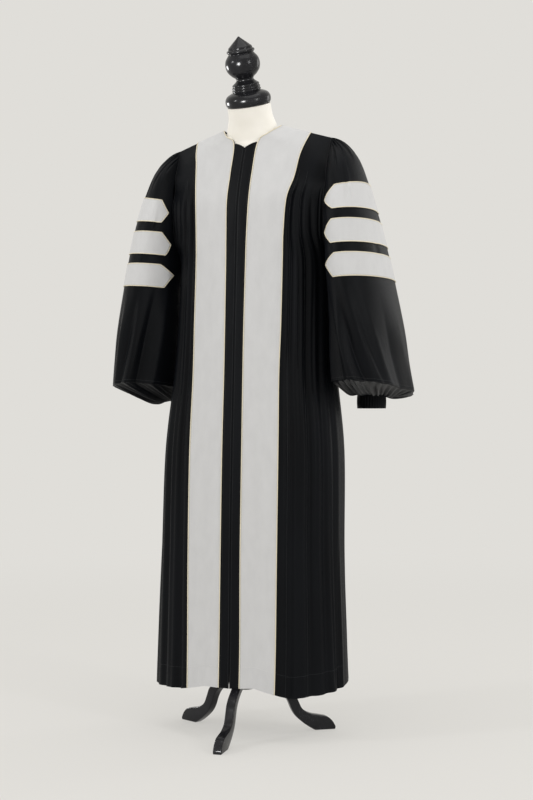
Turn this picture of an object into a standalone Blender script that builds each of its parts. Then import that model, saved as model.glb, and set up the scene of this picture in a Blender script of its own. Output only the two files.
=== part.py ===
# A doctoral graduation gown on a limbless dress form with a tripod stand.
# The gown's front faces -Y, +X is the gown's left and the floor is at z = 0.
import math
from collections import namedtuple

import bmesh
import bpy
import numpy as np
from mathutils import Matrix, Vector

for leftover in list(bpy.data.objects):
    bpy.data.objects.remove(leftover, do_unlink=True)

# Driving dimensions, in metres and degrees
CLOTH = 0.0016              # wall of the black cloth
VELVET = 0.0014             # wall of the velvet
SEAM = 0.0003               # gap between pieces at a seam
SLEEVE_SEAM = 0.0005        # gap between the body and the sleeve head
BAR_LIFT = 0.0014           # gap between a bar and the sleeve under it
PIPE_RADIUS = 0.0012        # piping cord
PIPE_ROOM = 0.0034          # strip along a velvet edge that the piping takes
OPENING_HALF_GAP = 0.0004   # half of the gap between the two placket flaps
SLIT_HALF_GAP = 0.0015      # the same below the zip's end
ZIP_HALF_WIDTH = 0.012
ZIP_TOP_ROW = 2.62          # place of the zip's top end on the body's sections
ZIP_LOW = 0.172             # height of the zip's bottom end
HEM_HEIGHT = 0.1225         # at the centre front
HEM_FADE = 0.30             # height above which the hem's waves have died out
V_ROW = 2.0                 # section where the band leaves the neckline
V_DEPTH = 0.33              # how many sections lower the V's point is
NECK_HALF_WIDTH = 0.077     # of the gown's neckline at the shoulder seam
NECK_BACK = 0.073           # from the shoulder seam back to the nape
NECK_RISE = -0.016          # of the nape below the shoulder line's own rise
BACK_BAND_ROWS = 2.7        # how many sections down the back the velvet reaches
VELVET_COLUMNS = 4

# Sections of the gown's body, from the shoulder seam down to the hem. A section's height
# drops with x by its slope. The edge is the armhole, and the side seam below it.
Section = namedtuple("Section", "height slope inner band edge half_width centre_y front back "
                     "round_front round_back")
SECTIONS = [
    Section(1.4940, 0.30, 0.077, 0.155, 0.206, 0.215, 0.053, 0.013, -0.013, 2.0, 2.0),
    Section(1.4709, 0.38, 0.055, 0.147, 0.206, 0.240, 0.045, 0.036, 0.045, 1.5, 2.0),
    Section(1.4414, 0.40, 0.031, 0.140, 0.206, 0.250, 0.040, 0.037, 0.078, 2.0, 2.0),
    Section(1.3540, 0.15, 0.028, 0.133, 0.205, 0.250, 0.050, 0.075, 0.105, 1.6, 2.2),
    Section(1.2840, 0.02, 0.028, 0.122, 0.205, 0.250, 0.055, 0.098, 0.112, 1.8, 2.2),
    Section(1.2000, 0.00, 0.026, 0.117, 0.203, 0.221, 0.058, 0.108, 0.117, 2.0, 2.2),
    Section(1.1300, 0.00, 0.025, 0.116, 0.1985, 0.1985, 0.060, 0.113, 0.120, 2.2, 2.2),
    Section(0.9800, 0.00, 0.024, 0.116, 0.203, 0.203, 0.058, 0.118, 0.126, 2.3, 2.2),
    Section(0.8580, 0.00, 0.024, 0.115, 0.2095, 0.2095, 0.056, 0.121, 0.130, 2.5, 2.2),
    Section(0.6820, 0.00, 0.025, 0.118, 0.228, 0.228, 0.053, 0.126, 0.134, 2.7, 2.2),
    Section(0.4410, 0.00, 0.025, 0.118, 0.234, 0.234, 0.040, 0.121, 0.130, 2.6, 2.2),
    Section(0.2300, 0.00, 0.026, 0.117, 0.242, 0.242, 0.036, 0.121, 0.128, 2.5, 2.2),
    Section(0.1225, 0.00, 0.026, 0.116, 0.246, 0.246, 0.036, 0.125, 0.130, 2.5, 2.2),
]
UNDERARM = 6                # the section where the side seam starts
HEM = len(SECTIONS) - 1
PANEL_ROWS = [0, 0.5, 1, 1.5, 2, 2.5, 3, 3.5, 4, 5, 6, 7, 8, 9, 10, 11, HEM]

# Height of the hem round the body: turn 0 is the centre front, positive to the gown's left
HemPoint = namedtuple("HemPoint", "turn height")
HEM_WAVE = [HemPoint(-180, 0.120), HemPoint(-140, 0.122), HemPoint(-105, 0.112),
            HemPoint(-75, 0.106), HemPoint(-50, 0.110), HemPoint(-28, 0.1235),
            HemPoint(0, 0.1225), HemPoint(28, 0.1275), HemPoint(55, 0.107),
            HemPoint(80, 0.122), HemPoint(105, 0.143), HemPoint(140, 0.128),
            HemPoint(180, 0.120)]

# Flutes: soft troughs down a panel. Place runs from the band, or the centre back, at 0 to
# the side seam at 1; a flute starts at one section, is full at the next and runs to the hem.
Flute = namedtuple("Flute", "place width start full depth_top depth_hem")
FRONT_FLUTES = [Flute(0.13, 0.06, 2.6, 4.0, 0.0045, 0.0100),
                Flute(0.38, 0.07, 2.6, 4.0, 0.0050, 0.0085),
                Flute(0.62, 0.07, 3.2, 5.0, 0.0035, 0.0060),
                Flute(0.85, 0.06, 6.5, 9.0, 0.0020, 0.0070)]
BACK_FLUTES = [Flute(0.12, 0.05, 2.4, 4.0, 0.0050, 0.0090),
               Flute(0.33, 0.05, 2.4, 4.0, 0.0050, 0.0100),
               Flute(0.54, 0.05, 2.4, 4.0, 0.0045, 0.0090),
               Flute(0.76, 0.05, 3.0, 5.0, 0.0030, 0.0080)]

# Rings of a sleeve, from its cap to its rim. The reach is how far round, to each side of the
# sleeve's outer line, a ring goes before it meets the armhole; 180 is a closed ring.
Ring = namedtuple("Ring", "height outer_rise front_rise centre_x centre_y half_width half_depth "
                  "reach")
RINGS = [
    Ring(1.360, 0.032, 0.000, 0.215, 0.054, 0.047, 0.066, 101),
    Ring(1.301, 0.017, 0.000, 0.235, 0.055, 0.057, 0.088, 121),
    Ring(1.243, 0.009, 0.000, 0.250, 0.056, 0.059, 0.106, 141),
    Ring(1.220, 0.007, 0.000, 0.254, 0.058, 0.061, 0.113, 147),
    Ring(1.163, 0.006, 0.000, 0.263, 0.062, 0.065, 0.124, 158),
    Ring(1.140, 0.006, 0.000, 0.266, 0.064, 0.067, 0.128, 167),
    Ring(1.082, 0.006, 0.000, 0.274, 0.068, 0.070, 0.137, 180),
    Ring(0.980, 0.000, 0.004, 0.286, 0.077, 0.078, 0.150, 180),
    Ring(0.900, -0.002, 0.010, 0.292, 0.086, 0.081, 0.161, 180),
    Ring(0.834, -0.004, 0.017, 0.298, 0.095, 0.084, 0.170, 180),
]
CAP_TOP = 1.405             # height where the cap's top arc leaves the armhole's sides
CAP_SWELL = 0.006           # how far the gathered head stands up between armhole and cap
SLEEVE_ROWS = [0, 0.4, 1, 1.5, 2, 3, 4, 5, 6, 7, 8, 9, 10]
GATHERS = 14                # in each sleeve head
GATHER_DEPTH = 0.006
BODY_CLEARANCE = 0.005      # between the body and the sleeve that hangs beside it

# Soft folds down a sleeve: around is from 0 at the underarm seam, by the front, to 1
SleeveFold = namedtuple("SleeveFold", "around_top around_rim start full width depth")
SLEEVE_FOLDS = [SleeveFold(0.13, 0.20, 6.6, 8.5, 0.035, 0.010),
                SleeveFold(0.20, 0.33, 6.8, 8.5, 0.035, 0.008),
                SleeveFold(0.42, 0.47, 7.2, 9.0, 0.035, 0.006),
                SleeveFold(0.63, 0.60, 7.0, 9.0, 0.035, 0.007),
                SleeveFold(0.80, 0.76, 6.8, 8.5, 0.035, 0.009)]

# Velvet bars: first sleeve row, and how far round from the armhole the tip and corner are
Bar = namedtuple("Bar", "top_row tip corner")
BARS = {"left": [Bar(2, 0.0592, 0.1725), Bar(4, 0.0949, 0.1725), Bar(6, 0.1307, 0.2082)],
        "right": [Bar(2, 0.0200, 0.0653), Bar(4, 0.0280, 0.0653), Bar(6, 0.0500, 0.1010)]}
BAR_HEIGHT = 0.058

# The gathered underside runs from the rim in to the cuff
Hollow = namedtuple("Hollow", "share sag gather")
UNDER_ROWS = [Hollow(0.30, 0.55, 0.004), Hollow(0.65, 1.0, 0.007), Hollow(1.0, 0.0, 0.0)]
UNDER_SAG = {"left": 0.010, "right": 0.024}
UNDER_TUCK = 0.006          # how far the underside reaches up inside the rim
UNDER_SPAN = 0.09           # distance out from the cuff to the rim that sags in full
CUFF_CENTRE = (0.2575, 0.180)
CUFF_HALF_WIDTH = 0.036
CUFF_HALF_DEPTH = 0.030
CUFF_TOP = 0.818
CUFF_BOTTOM = 0.784
CUFF_WALL = 0.0024

# The dress form
FORM_GAP = 0.0011           # between the form's shoulders and the cloth that rests on them
FORM_SIDE = 0.190           # half width of the form where the arms would be
FormRow = namedtuple("FormRow", "section inset_front inset_back")
FORM_ROWS = [FormRow(0.5, CLOTH + FORM_GAP, 0.0060), FormRow(1, CLOTH + FORM_GAP, 0.0070),
             FormRow(1.5, 0.0032, 0.008), FormRow(2, 0.0040, 0.010), FormRow(2.5, 0.006, 0.013),
             FormRow(3, 0.010, 0.016), FormRow(4, 0.013, 0.020), FormRow(5, 0.015, 0.022)]
FormRing = namedtuple("FormRing", "height half_width front_y back_y")
FORM_RINGS = [FormRing(1.100, 0.160, -0.034, 0.146), FormRing(0.985, 0.138, -0.018, 0.128),
              FormRing(0.880, 0.160, -0.034, 0.144), FormRing(0.780, 0.172, -0.040, 0.150),
              FormRing(0.730, 0.164, -0.034, 0.144), FormRing(0.712, 0.140, -0.016, 0.124)]
FORM_COLUMNS = 9
NeckRing = namedtuple("NeckRing", "centre_y height half_width half_depth lean")
NECK_RINGS = [NeckRing(0.0195, 1.5235, 0.0535, 0.0500, 21),
              NeckRing(0.0290, 1.4970, 0.0560, 0.0460, 17),
              NeckRing(0.0370, 1.4750, 0.0635, 0.0430, 12),
              NeckRing(0.0410, 1.4550, 0.0680, 0.0400, 8),
              NeckRing(0.0450, 1.4200, 0.0700, 0.0350, 0),
              NeckRing(0.0500, 1.3800, 0.0700, 0.0350, 0)]

# The turned finial, along its own leaning axis
FINIAL_LEAN = 21
FINIAL_SEAT = (0.0, 0.0194, 1.5243)
Turned = namedtuple("Turned", "along radius")
FINIAL_PROFILE = [Turned(0.0000, 0.0500), Turned(0.0040, 0.0545), Turned(0.0120, 0.0560),
                  Turned(0.0200, 0.0545), Turned(0.0270, 0.0490), Turned(0.0315, 0.0400),
                  Turned(0.0340, 0.0345), Turned(0.0400, 0.0350), Turned(0.0460, 0.0335),
                  Turned(0.0520, 0.0320), Turned(0.0560, 0.0260), Turned(0.0610, 0.0215),
                  Turned(0.0660, 0.0225), Turned(0.0730, 0.0310), Turned(0.0840, 0.0395),
                  Turned(0.0980, 0.0425), Turned(0.1110, 0.0400), Turned(0.1210, 0.0330),
                  Turned(0.1250, 0.0305), Turned(0.1275, 0.0335), Turned(0.1330, 0.0335),
                  Turned(0.1370, 0.0285), Turned(0.1420, 0.0255), Turned(0.1500, 0.0165),
                  Turned(0.1590, 0.0065), Turned(0.1640, 0.0015)]

# The stand
POLE_RADIUS = 0.0125
POLE_FOOT = 0.205
HUB_PROFILE = [Turned(0.108, 0.020), Turned(0.112, 0.026), Turned(0.120, 0.0270),
               Turned(0.172, 0.0270), Turned(0.180, 0.030), Turned(0.190, 0.030),
               Turned(0.200, 0.022), Turned(0.2047, 0.018)]
LEG_WIDTH = 0.021
LEG_TURNS = {"leg_front": 9.4, "leg_left": 129.0, "leg_right": -111.0}
LegPoint = namedtuple("LegPoint", "reach height")
LEG_TOP = [LegPoint(0.0275, 0.168), LegPoint(0.045, 0.158), LegPoint(0.064, 0.140),
           LegPoint(0.082, 0.1205), LegPoint(0.104, 0.107), LegPoint(0.121, 0.093),
           LegPoint(0.130, 0.074), LegPoint(0.141, 0.053), LegPoint(0.161, 0.041),
           LegPoint(0.184, 0.036), LegPoint(0.204, 0.031), LegPoint(0.217, 0.020),
           LegPoint(0.225, 0.006), LegPoint(0.2235, 0.000)]
LEG_BOTTOM = [LegPoint(0.173, 0.000), LegPoint(0.159, 0.008), LegPoint(0.143, 0.019),
              LegPoint(0.126, 0.034), LegPoint(0.115, 0.050), LegPoint(0.105, 0.073),
              LegPoint(0.094, 0.089), LegPoint(0.075, 0.104), LegPoint(0.050, 0.116),
              LegPoint(0.0275, 0.122)]
LEG_BEVEL = 0.004

SIDES = {"left": 1, "right": -1}

# How finely the pieces are divided
BLACK_START = VELVET_COLUMNS + 1
PLACKET_COLUMNS = 3
PLACKET_SEAM = 0.0004
BACK_BAND_ROUND = 0.98
BAND_LAST = 5
ARMHOLE_STEPS = 121
SEAM_BLEND = 0.16
CUFF_COLUMNS = 16
NECK_COLUMNS = 24
NECK_FADES = [1.0, 0.45, 0.1]
FORM_SIDE_TURN = 80
UNDERARM_AT = PANEL_ROWS.index(UNDERARM)
CLOSED_ROW = 7
BAR_POINT_DRAW = 3.6        # how far round a bar's tip draws in, per metre of inset
COLUMN_APART = 0.002
BODY_AXIS = np.array([0.0, 0.045, 0.0])


def material(name, colour, roughness, metallic=0.0):
    made = bpy.data.materials.new(name)
    made.use_nodes = True
    shader = made.node_tree.nodes["Principled BSDF"]
    shader.inputs["Base Color"].default_value = (*colour, 1)
    shader.inputs["Roughness"].default_value = roughness
    shader.inputs["Metallic"].default_value = metallic
    return made


def place(name, mesh, finish):
    mesh.materials.append(finish)
    thing = bpy.data.objects.new(name, mesh)
    bpy.context.scene.collection.objects.link(thing)
    return thing


def smoothstep(value):
    value = np.clip(value, 0.0, 1.0)
    return value * value * (3 - 2 * value)


def vertex_normals(points, faces):
    normals = np.zeros_like(points)
    triangles = np.array(faces)
    corners = points[triangles]
    across = np.cross(corners[:, 1] - corners[:, 0], corners[:, 2] - corners[:, 0])
    for corner in range(3):
        np.add.at(normals, triangles[:, corner], across)
    return normals / np.linalg.norm(normals, axis=1, keepdims=True)


def grid_faces(rows, columns, closed=False):
    faces = []
    for row in range(rows - 1):
        for column in range(columns if closed else columns - 1):
            after = (column + 1) % columns
            a, b = row * columns + column, row * columns + after
            c, d = (row + 1) * columns + after, (row + 1) * columns + column
            faces += [(a, d, c), (a, c, b)]
    return faces


def facing(points, faces, centre):
    # The faces turned, if need be, so that they look away from the centre line
    normals = vertex_normals(points, faces)
    outward = (points - centre) * np.array([1.0, 1.0, 0.0])
    if np.sum(normals * outward) < 0:
        faces = [face[::-1] for face in faces]
    return faces


def wall(name, outer, inner, faces, finish):
    # A closed wall between two point sets that share their faces
    count = len(outer)
    edges = {(face[k], face[(k + 1) % 3]) for face in faces for k in range(3)}
    rim = [(b, a, a + count, b + count) for a, b in edges if (b, a) not in edges]
    back = [tuple(index + count for index in face[::-1]) for face in faces]
    mesh = bpy.data.meshes.new(name)
    mesh.from_pydata(np.vstack([outer, inner]).tolist(), [], faces + back + sorted(rim))
    mesh.shade_smooth()
    mesh.set_sharp_from_angle(angle=math.radians(50))
    return place(name, mesh, finish)


def solid(name, points, faces, finish, sharp=40):
    mesh = bpy.data.meshes.new(name)
    mesh.from_pydata([tuple(point) for point in points], [], faces)
    shape = bmesh.new()
    shape.from_mesh(mesh)
    bmesh.ops.recalc_face_normals(shape, faces=shape.faces)
    shape.to_mesh(mesh)
    shape.free()
    mesh.shade_smooth()
    mesh.set_sharp_from_angle(angle=math.radians(sharp))
    return place(name, mesh, finish)


def tube(name, centres, normals, radius, finish, closed=False):
    # A four-sided cord along a line of points, its flats turned to the cloth under it
    centres, normals = np.array(centres), np.array(normals)
    if closed:
        along = np.roll(centres, -1, axis=0) - np.roll(centres, 1, axis=0)
    else:
        along = np.gradient(centres, axis=0)
    across = np.cross(along, normals)
    across /= np.linalg.norm(across, axis=1, keepdims=True)
    up = np.cross(across, along)
    up /= np.linalg.norm(up, axis=1, keepdims=True)
    ring = np.stack([centres + radius * (across * math.cos(angle) + up * math.sin(angle))
                     for angle in np.radians([45, 135, 225, 315])], axis=1)
    rows = len(centres)
    faces = []
    for row in range(rows if closed else rows - 1):
        low, high = row * 4, ((row + 1) % rows) * 4
        faces += [(low + k, low + (k + 1) % 4, high + (k + 1) % 4, high + k) for k in range(4)]
    if not closed:
        faces += [(3, 2, 1, 0), tuple((rows - 1) * 4 + k for k in range(4))]
    return solid(name, ring.reshape(-1, 3), faces, finish)


def along_rows(control, rows):
    # Points on smooth curves down the columns of a control grid, at any fraction of a row
    rows = np.asarray(rows, dtype=float)
    if rows.ndim == 1:
        rows = np.repeat(rows[:, None], control.shape[1], axis=1)
    last = control.shape[0] - 1
    start = np.clip(np.floor(rows).astype(int), 0, last - 1)
    share = (rows - start)[..., None]
    columns = np.broadcast_to(np.arange(control.shape[1]), rows.shape)
    before = control[np.maximum(start - 1, 0), columns]
    first = control[start, columns]
    second = control[start + 1, columns]
    after = control[np.minimum(start + 2, last), columns]
    return first + 0.5 * share * (
        second - before + share * (2 * before - 5 * first + 4 * second - after
                                   + share * (3 * (first - second) + after - before)))


# The body's surface

def turn_at(x, section, back=False):
    power = section.round_back if back else section.round_front
    return np.arcsin(np.clip(x / section.half_width, 0, 1) ** (power / 2))


def section_points(turns, section, back=False):
    depth = section.back if back else -section.front
    power = section.round_back if back else section.round_front
    x = section.half_width * np.sin(turns) ** (2 / power)
    y = section.centre_y + depth * np.clip(np.cos(turns), 0, 1) ** (2 / power)
    return np.stack([x, y, section.height - section.slope * x], axis=-1)


def hem_shift(points, side):
    # How far the hem's waves move a point up or down
    turns = np.degrees(np.arctan2(points[..., 0] * side, SECTIONS[-1].centre_y - points[..., 1]))
    wave = np.array(HEM_WAVE)
    height = np.interp(turns, wave[:, 0], wave[:, 1])
    fade = smoothstep((HEM_FADE - points[..., 2]) / (HEM_FADE - HEM_HEIGHT))
    return (height - HEM_HEIGHT) * fade


def fluted(grid, places, rows, flutes):
    # The grid with its flutes pressed in
    faces = facing(grid.reshape(-1, 3), grid_faces(*grid.shape[:2]), BODY_AXIS)
    normals = vertex_normals(grid.reshape(-1, 3), faces).reshape(grid.shape)
    rows, places = np.broadcast_to(np.transpose(rows), grid.shape[1::-1]).T, np.asarray(places)
    depth = np.zeros(grid.shape[:2])
    for flute in flutes:
        deepening = flute.depth_top + (flute.depth_hem - flute.depth_top) * rows / HEM
        shape = np.exp(-((places - flute.place) / flute.width) ** 2 * 1.5)
        depth += deepening * smoothstep((rows - flute.start) / (flute.full - flute.start)) * shape
    return grid - normals * depth[..., None]


def flute_columns(flutes, middle_first):
    # Columns at each flute's trough and both its lips
    places = [0.0] if middle_first else [0.045]
    for flute in flutes:
        places += [flute.place - flute.width, flute.place, flute.place + flute.width]
    return sorted(place for place in places if place < 0.97) + [1.0]


def front_control(places):
    # Control rows of a front: the velvet's columns first, then the black ones with the flutes
    rows = []
    for section in SECTIONS:
        inner, outer = turn_at(section.inner, section), turn_at(section.band, section)
        edge = turn_at(section.edge, section)
        across = np.linspace(section.inner + PIPE_ROOM, section.band - PIPE_ROOM, VELVET_COLUMNS)
        turns = [inner] + [turn_at(x, section) for x in across] + [outer]
        turns += [outer + (edge - outer) * share for share in places]
        rows.append(section_points(np.array(turns), section))
    return np.array(rows)


def front_grid(side):
    places = flute_columns(FRONT_FLUTES, False)
    grid = along_rows(front_control(places), PANEL_ROWS)
    black = fluted(grid[:, BLACK_START:], [0.0] + places, PANEL_ROWS, FRONT_FLUTES)
    grid = np.concatenate([grid[:, :BLACK_START], black], axis=1)
    grid[..., 2] += hem_shift(grid, side)
    trim(grid[:, -1], grid[:, -2])
    trim(grid[0], grid[1])
    return grid * (side, 1, 1)


def back_control(places):
    rows = []
    for section in SECTIONS:
        edge = turn_at(section.edge, section, True)
        rows.append(section_points(edge * np.array(places), section, True))
    control = np.array(rows)
    across = control[0, :, 0] / NECK_HALF_WIDTH
    neck = np.sqrt(np.clip(1 - across ** 2, 0, 1))
    for number, fade in enumerate(NECK_FADES):
        control[number, :, 1] += NECK_BACK * neck * fade
        control[number, :, 2] += NECK_RISE * neck * fade
    return control


def back_places():
    # The back's columns: the flutes', and those of the neckline's and the velvet's ends
    top = SECTIONS[0]
    edge = turn_at(top.edge, top, True)
    neck = turn_at(NECK_HALF_WIDTH, top, True) / edge
    band = turn_at(top.band - PIPE_ROOM, top, True) / edge
    places = [place for place in flute_columns(BACK_FLUTES, True)
              if min(abs(place - neck), abs(place - band)) > 0.03]
    return sorted(places + [neck, band]), band


def back_rows(places, band):
    # Sections of each column's points: the first rows end along the velvet's curved edge
    places = np.array(places)
    low = BACK_BAND_ROWS * np.sqrt(1 - np.clip(BACK_BAND_ROUND * places / band, 0,
                                               BACK_BAND_ROUND) ** 2)
    beyond = np.clip((places - band) / (1 - band), 0, 1)
    low = low + (PANEL_ROWS[BAND_LAST] - low) * beyond
    velvet = np.linspace(0, 1, BAND_LAST + 1)[:, None] * low
    last = PANEL_ROWS[BAND_LAST + 3]
    below = low + np.array([1, 2, 3])[:, None] / 3 * (last - low)
    rest = np.repeat(np.array(PANEL_ROWS[BAND_LAST + 4:])[:, None], len(places), axis=1)
    return np.concatenate([velvet, below, rest])


def back_grid():
    places, band = back_places()
    rows = back_rows(places, band)
    half = fluted(along_rows(back_control(places), rows), places, rows, BACK_FLUTES)
    halves = {}
    for name, side in SIDES.items():
        grid = half.copy()
        grid[..., 2] += hem_shift(grid, side)
        trim(grid[:, -1], grid[:, -2])
        halves[name] = grid * (side, 1, 1)
    grid = np.concatenate([halves["right"][:, :0:-1], halves["left"]], axis=1)
    trim(grid[0], grid[1])
    return grid, len(places) - 1, places.index(band)


def trim_step(edge, neighbour, gap):
    step = neighbour - edge
    return step / np.linalg.norm(step, axis=-1, keepdims=True) * gap


def trim(edge, neighbour, gap=SEAM / 2):
    # Draw an edge of a grid back from its seam
    edge += trim_step(edge, neighbour, gap)


def panel_normals(grid, faces, side_columns):
    # A panel's own normals, but shared ones along the shoulder seam and the side seams
    normals = vertex_normals(grid.reshape(-1, 3), faces).reshape(grid.shape)
    for column, side in side_columns:
        normals[UNDERARM_AT:, column] = (side, 0, 0)
    ridge = np.array([SECTIONS[0].slope, 0, 1]) / math.hypot(SECTIONS[0].slope, 1)
    on_ridge = np.abs(grid[0, :, 0]) > NECK_HALF_WIDTH - 0.002
    for column in np.flatnonzero(on_ridge):
        normals[0, column] = ridge * (np.sign(grid[0, column, 0]), 1, 1)
    return normals


def layer(name, grid, normals, low, high, faces, finish):
    # A wall between two distances from a grid of cloth
    outer = (grid + normals * high).reshape(-1, 3)
    inner = (grid + normals * low).reshape(-1, 3)
    return wall(name, outer, inner, faces, finish)


def piping(name, line, normals, finish, closed=False):
    lift = SEAM + PIPE_RADIUS
    return tube(name, line + normals * lift, normals, PIPE_RADIUS, finish, closed)


def build_front(name, side):
    grid = front_grid(side)
    faces = facing(grid.reshape(-1, 3), grid_faces(*grid.shape[:2]), BODY_AXIS)
    normals = panel_normals(grid, faces, [(-1, side)])
    layer(f"front_{name}", grid, normals, -CLOTH, 0, faces, black_cloth)
    strip = slice(1, 1 + VELVET_COLUMNS)
    band_faces = facing(grid[:, strip].reshape(-1, 3),
                        grid_faces(len(grid), VELVET_COLUMNS), BODY_AXIS)
    layer(f"band_{name}", grid[:, strip], normals[:, strip], SEAM, SEAM + VELVET, band_faces,
          velvet_cloth)
    for edge, column in (("inner", 0), ("outer", VELVET_COLUMNS)):
        line = (grid[:, column] + grid[:, column + 1]) / 2
        over = (normals[:, column] + normals[:, column + 1]) / 2
        trim(line[0], line[1], PIPE_RADIUS)
        piping(f"piping_{edge}_{name}", line, over, piping_cord)
    build_placket(name, side)


def build_placket(name, side):
    rows = []
    for section in SECTIONS:
        x = np.linspace(OPENING_HALF_GAP, section.inner - PLACKET_SEAM, PLACKET_COLUMNS)
        rows.append(section_points(turn_at(x, section), section))
    below = [row for row in PANEL_ROWS if row > V_ROW + V_DEPTH]
    places = np.repeat(np.array([V_ROW] + below, dtype=float)[:, None], PLACKET_COLUMNS, axis=1)
    share = np.linspace(1, 0, PLACKET_COLUMNS)
    places[0] = V_ROW + V_DEPTH * share
    grid = along_rows(np.array(rows), places)
    grid[..., 2] += hem_shift(grid, side)
    below_zip = grid[:, 0, 2] < ZIP_LOW
    grid[below_zip, 0, 0] = SLIT_HALF_GAP
    grid = grid * (side, 1, 1)
    faces = facing(grid.reshape(-1, 3), grid_faces(*grid.shape[:2]), BODY_AXIS)
    normals = vertex_normals(grid.reshape(-1, 3), faces).reshape(grid.shape)
    normals[:, 0] *= (0, 1, 1)
    layer(f"placket_{name}", grid, normals, -CLOTH, 0, faces, black_cloth)


def build_zip():
    rows = []
    for section in SECTIONS:
        x = np.linspace(0, ZIP_HALF_WIDTH, 3)
        half = section_points(turn_at(x, section), section)
        rows.append(np.concatenate([half[:0:-1] * (-1, 1, 1), half]))
    places = [ZIP_TOP_ROW] + [row for row in PANEL_ROWS if row > ZIP_TOP_ROW]
    grid = along_rows(np.array(rows), places)
    grid = grid[grid[:, 2, 2] > ZIP_LOW + 0.02]
    last = grid[-1] * (1, 1, 0) + (0, 0, ZIP_LOW)
    grid = np.concatenate([grid, last[None]])
    faces = facing(grid.reshape(-1, 3), grid_faces(*grid.shape[:2]), BODY_AXIS)
    normals = vertex_normals(grid.reshape(-1, 3), faces).reshape(grid.shape)
    layer("zip_tape", grid, normals, -2 * CLOTH - 2 * SEAM, -CLOTH - 2 * SEAM, faces, zip_cloth)


def build_back():
    grid, middle, band = back_grid()
    faces = facing(grid.reshape(-1, 3), grid_faces(*grid.shape[:2]), BODY_AXIS)
    normals = panel_normals(grid, faces, [(0, -1), (-1, 1)])
    layer("back", grid, normals, -CLOTH, 0, faces, black_cloth)
    columns = slice(middle - band, middle + band + 1)
    build_back_band(grid[:BAND_LAST + 2, columns], normals[:BAND_LAST + 2, columns])


def build_back_band(grid, normals):
    # Velvet on the back, from the shoulder seams round the nape, with piping on both edges
    grid = grid.copy()
    nape = np.abs(grid[0, :, 0]) < NECK_HALF_WIDTH - PIPE_ROOM
    beyond = grid[-1] - grid[-2]
    beyond = beyond / np.linalg.norm(beyond, axis=1, keepdims=True) * PIPE_ROOM / 2
    low_line = grid[-2] + beyond
    aside = np.array([[-PIPE_ROOM / 2, 0, 0], [PIPE_ROOM / 2, 0, 0]])
    low_line[[0, -1]] += aside
    ends = grid[0, [0, -1]] + aside
    low_line = np.concatenate([[ends[0]], low_line, [ends[1]]])
    over = np.concatenate([[normals[0, 0]], normals[-2], [normals[0, -1]]])
    piping("piping_back", low_line, over, piping_cord)
    above = trim_step(grid[0, nape], grid[1, nape], PIPE_RADIUS + SEAM)
    tube("piping_nape", grid[0, nape] - above, normals[0, nape], PIPE_RADIUS, piping_cord)
    grid, normals = grid[:-1], normals[:-1]
    faces = facing(grid.reshape(-1, 3), grid_faces(*grid.shape[:2]), BODY_AXIS)
    layer("band_back", grid, normals, SEAM, SEAM + VELVET, faces, velvet_cloth)


# The sleeves

def armhole_edges():
    # The armhole's front and back edges, from the shoulder seam down to the underarm
    rows = np.linspace(0, UNDERARM, ARMHOLE_STEPS)
    front = along_rows(front_control([1.0])[:, -1:], rows)[:, 0]
    back = along_rows(back_control([1.0]), rows)[:, 0]
    return front, back


def edge_at(height, edge):
    # The armhole edge's point at a height; heights fall along the edge
    return np.stack([np.interp(-height, -edge[:, 2], edge[:, axis]) for axis in range(3)], axis=-1)


def body_reach(y, height):
    # The body's half width at a depth and a height below the underarm
    table = np.array(SECTIONS[UNDERARM:])
    names = Section._fields
    def field(name):
        return np.interp(-height, -table[:, 0], table[:, names.index(name)])
    offset = y - field("centre_y")
    depth = np.where(offset < 0, field("front"), field("back"))
    power = np.where(offset < 0, field("round_front"), field("round_back"))
    share = np.clip(np.abs(offset) / depth, 0, 1)
    return field("half_width") * (1 - share ** power) ** (1 / power)


def ring_points(ring, around, edges):
    angles = np.radians(ring.reach * (1 - 2 * around))
    x = ring.centre_x + ring.half_width * np.cos(angles)
    y = ring.centre_y - ring.half_depth * np.sin(angles)
    z = (ring.height + ring.outer_rise * np.sin(np.pi * around) ** 2
         + ring.front_rise * np.sin(2 * np.pi * around))
    points = np.stack([x, y, z], axis=-1)
    if ring.reach < 180:
        for edge, start, share in ((edges[0], 0, around), (edges[1], -1, 1 - around)):
            seam = edge_at(ring.height, edge) + (SLEEVE_SEAM, 0, 0)
            fade = np.clip(1 - share / SEAM_BLEND, 0, 1) ** 2
            points = points + (seam - points[start]) * fade[:, None]
    else:
        least = body_reach(y, z) + BODY_CLEARANCE
        excess = points[:, 0] - least
        points[:, 0] = least + (excess + np.sqrt(excess ** 2 + BODY_CLEARANCE ** 2 / 4)) / 2
    return points


def cap_arc(around, edges):
    # Where the cap is sewn over the top of the armhole
    top = edges[0][0, 2]
    height = CAP_TOP + (top - CAP_TOP) * (1 - (2 * around - 1) ** 2)
    front, back = edge_at(height, edges[0]), edge_at(height, edges[1])
    return np.where(around[:, None] < 0.5, front, back) + (SLEEVE_SEAM, 0, 0)


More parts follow.
